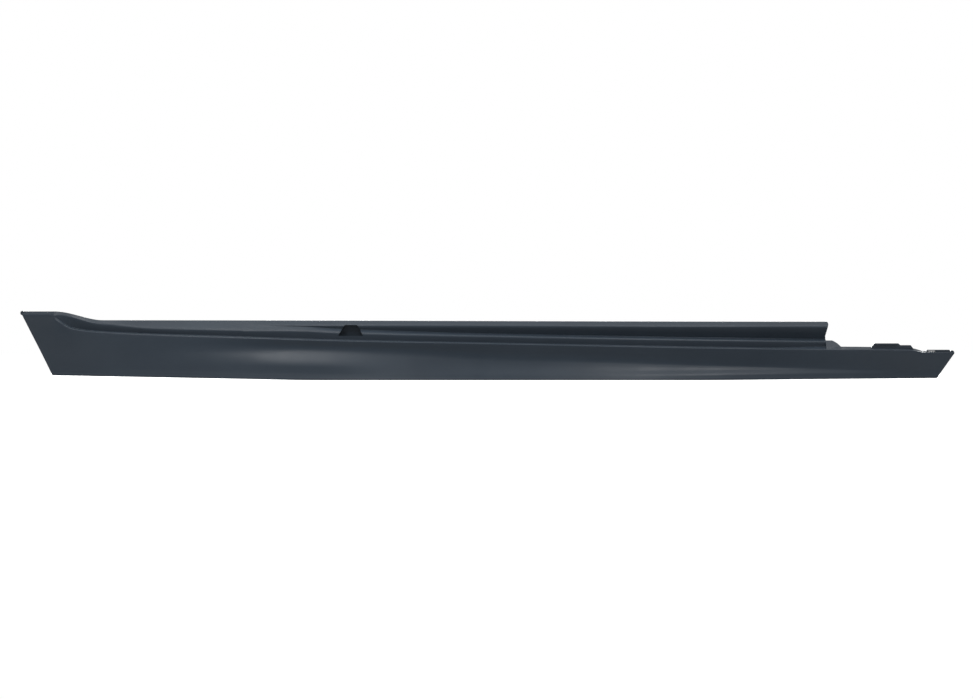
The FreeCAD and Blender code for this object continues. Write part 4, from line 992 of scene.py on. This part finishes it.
# %% Nylon and plated steel
def natural_nylon():
    """Milky nylon: light goes a little way in, and the surface is smooth."""
    made, shader = finish("natural_nylon", (120.0, 3.0), ((0.49, 0.46, 0.38), (0.58, 0.55, 0.47)),
                          (300.0, 3.0), (0.30, 0.44), (900.0, 3.0), (0.01, 0.3))
    shader.inputs["Subsurface Weight"].default_value = 0.15
    shader.inputs["Subsurface Scale"].default_value = 0.8 * MM
    return made


def plated_steel():
    """Zinc plating: bright, slightly blue, with cloudy patches and fine rolling marks."""
    return finish("zinc_plated_steel", (260.0, 3.0), ((0.50, 0.52, 0.53), (0.62, 0.64, 0.66)),
                  (700.0, 5.0), (0.26, 0.46), (2600.0, 3.0), (0.006, 0.4), metallic=1.0)[0]


nylon, steel = natural_nylon(), plated_steel()
print("made", nylon.name, "and", steel.name)

# %% [markdown]
# ## Put the pieces in place of the plain ones
# Each finished piece takes its node's place on the one body, and gets the one material that it is painted
# with.


# %% Dress the frame
def dress(piece, material, node):
    """One finish, the body that it rides on, and the plain node it stands for."""
    piece.data.materials.clear()
    piece.data.materials.append(material)
    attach(piece, "root")
    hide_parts(node)


dress(skin, plastic, "skirt_shell")
for i, piece in enumerate(clips):
    dress(piece, nylon, f"sill_clip_{i + 1}")
for name, piece in nuts.items():
    dress(piece, steel, name)
print("pieces dressed:", 1 + len(clips) + len(nuts))

# %% [markdown]
# ## Floor, light and camera
# The picture is a studio shot from far away, level with the skirt, on plain white.
# White comes from what the camera sees of the floor and the world, and the lamps
# stay at a plain level. A long soft box above draws the edges, two small ones make
# the highlights on the flare, weak ones fill the face, and one lights the back.

# %% White surroundings
BACKGROUND_LIGHT = 0.16             # what the white surroundings give the object


def only_for_sight(tree):
    """1 where a camera, glossy or transmission ray looks, 0 where light is gathered."""
    rays = tree.nodes.new("ShaderNodeLightPath")
    seen = rays.outputs["Is Camera Ray"]
    for kind in ("Is Glossy Ray", "Is Transmission Ray"):
        both = tree.nodes.new("ShaderNodeMath")
        both.operation = "MAXIMUM"
        tree.links.new(seen, both.inputs[0])
        tree.links.new(rays.outputs[kind], both.inputs[1])
        seen = both.outputs["Value"]
    return seen


def white_world():
    """White to look at, and a dimmer grey as light."""
    world = bpy.data.worlds.new("studio")
    world.use_nodes = True
    tree = world.node_tree
    shine = tree.nodes["Background"]
    level = tree.nodes.new("ShaderNodeMapRange")
    level.inputs["To Min"].default_value, level.inputs["To Max"].default_value = BACKGROUND_LIGHT, 1.0
    tree.links.new(only_for_sight(tree), level.inputs["Value"])
    tree.links.new(level.outputs["Result"], shine.inputs["Strength"])
    shine.inputs["Color"].default_value = (1, 1, 1, 1)
    bpy.context.scene.world = world


white_world()
print("world ready")


# %% Floor
def pale_floor():
    """A plane under the skirt, white to the eye apart from the skirt's soft shadow."""
    mesh = bpy.data.meshes.new("floor")
    reach = 60.0
    level = cad_low.z - 0.0002
    mesh.from_pydata([(-reach, -reach, level), (reach, -reach, level), (reach, reach, level),
                      (-reach, reach, level)], [], [(0, 1, 2, 3)])
    plane = bpy.data.objects.new("floor", mesh)
    bpy.context.scene.collection.objects.link(plane)
    material, shader = new_material("pale_floor", (0.36, 0.36, 0.36), 0.9)
    shader.inputs["Specular IOR Level"].default_value = 0.1
    tree = material.node_tree
    glow = tree.nodes.new("ShaderNodeMath")
    glow.operation = "MULTIPLY"
    glow.inputs[1].default_value = 0.90
    tree.links.new(only_for_sight(tree), glow.inputs[0])
    shader.inputs["Emission Color"].default_value = (1, 1, 1, 1)
    tree.links.new(glow.outputs["Value"], shader.inputs["Emission Strength"])
    mesh.materials.append(material)


pale_floor()
print("floor ready")


# %% Lamps
def soft_box(name, place, target, size, power):
    """A rectangular lamp that faces a target."""
    lamp = bpy.data.lights.new(name, "AREA")
    lamp.shape, lamp.energy = "RECTANGLE", power
    lamp.size, lamp.size_y = size
    holder = bpy.data.objects.new(name, lamp)
    holder.location = place
    aim = Vector(target) - Vector(place)
    holder.rotation_euler = aim.to_track_quat("-Z", "Y").to_euler()
    bpy.context.scene.collection.objects.link(holder)


soft_box("overhead", (0.0, 0.2, 2.3), (0, 0, 0.1), (3.2, 0.8), 44)
soft_box("fill", (0.0, -1.9, 1.7), (0, 0, 0.05), (3.8, 0.4), 5)
soft_box("fill_front", (-1.15, -1.1, 0.35), (-0.9, 0, 0.06), (0.5, 0.5), 2.4)
soft_box("fill_rear", (1.15, -1.1, 0.3), (0.9, 0, 0.03), (0.5, 0.5), 2.0)
soft_box("behind", (0.2, 2.4, 0.5), (0, 0, 0.05), (2.8, 0.6), 120)
soft_box("front_left", (-0.51, -0.55, 1.0), (-0.47, -0.05, 0.05), (0.32, 0.52), 10.5)
soft_box("front_right", (0.46, -0.55, 0.95), (0.42, -0.06, 0.02), (0.32, 0.28), 6.5)

# %% Camera
PHOTO_WIDTH, PHOTO_HEIGHT = 973, 699
MM_PER_PIXEL = 2.1                  # the skirt's length over its width in the picture
SKIRT_MIDDLE_X, GROUND_Y = 487.1, 380.1     # where x = 0 and z = 0 lie in the picture, in pixels
DISTANCE = 9.0                      # from the main face, which lies FACE_OUT in front of x, z
FACE_OUT = 0.055


def photo_camera():
    """Level camera whose sensor is as wide as the picture, opposite the picture's centre."""
    lens = bpy.data.cameras.new("camera")
    lens.sensor_width = 36.0
    lens.lens = lens.sensor_width * DISTANCE / (PHOTO_WIDTH * MM_PER_PIXEL * MM)
    holder = bpy.data.objects.new("camera", lens)
    holder.location = ((PHOTO_WIDTH / 2 - SKIRT_MIDDLE_X) * MM_PER_PIXEL * MM, -DISTANCE - FACE_OUT,
                       (GROUND_Y - PHOTO_HEIGHT / 2) * MM_PER_PIXEL * MM)
    holder.rotation_euler = (math.pi / 2, 0, 0)
    bpy.context.scene.collection.objects.link(holder)
    bpy.context.scene.camera = holder
    return holder


camera = photo_camera()
bpy.context.scene.view_settings.view_transform = "Standard"
print("lens in mm:", round(camera.data.lens, 1), "camera height in m:", round(camera.location.z, 4))
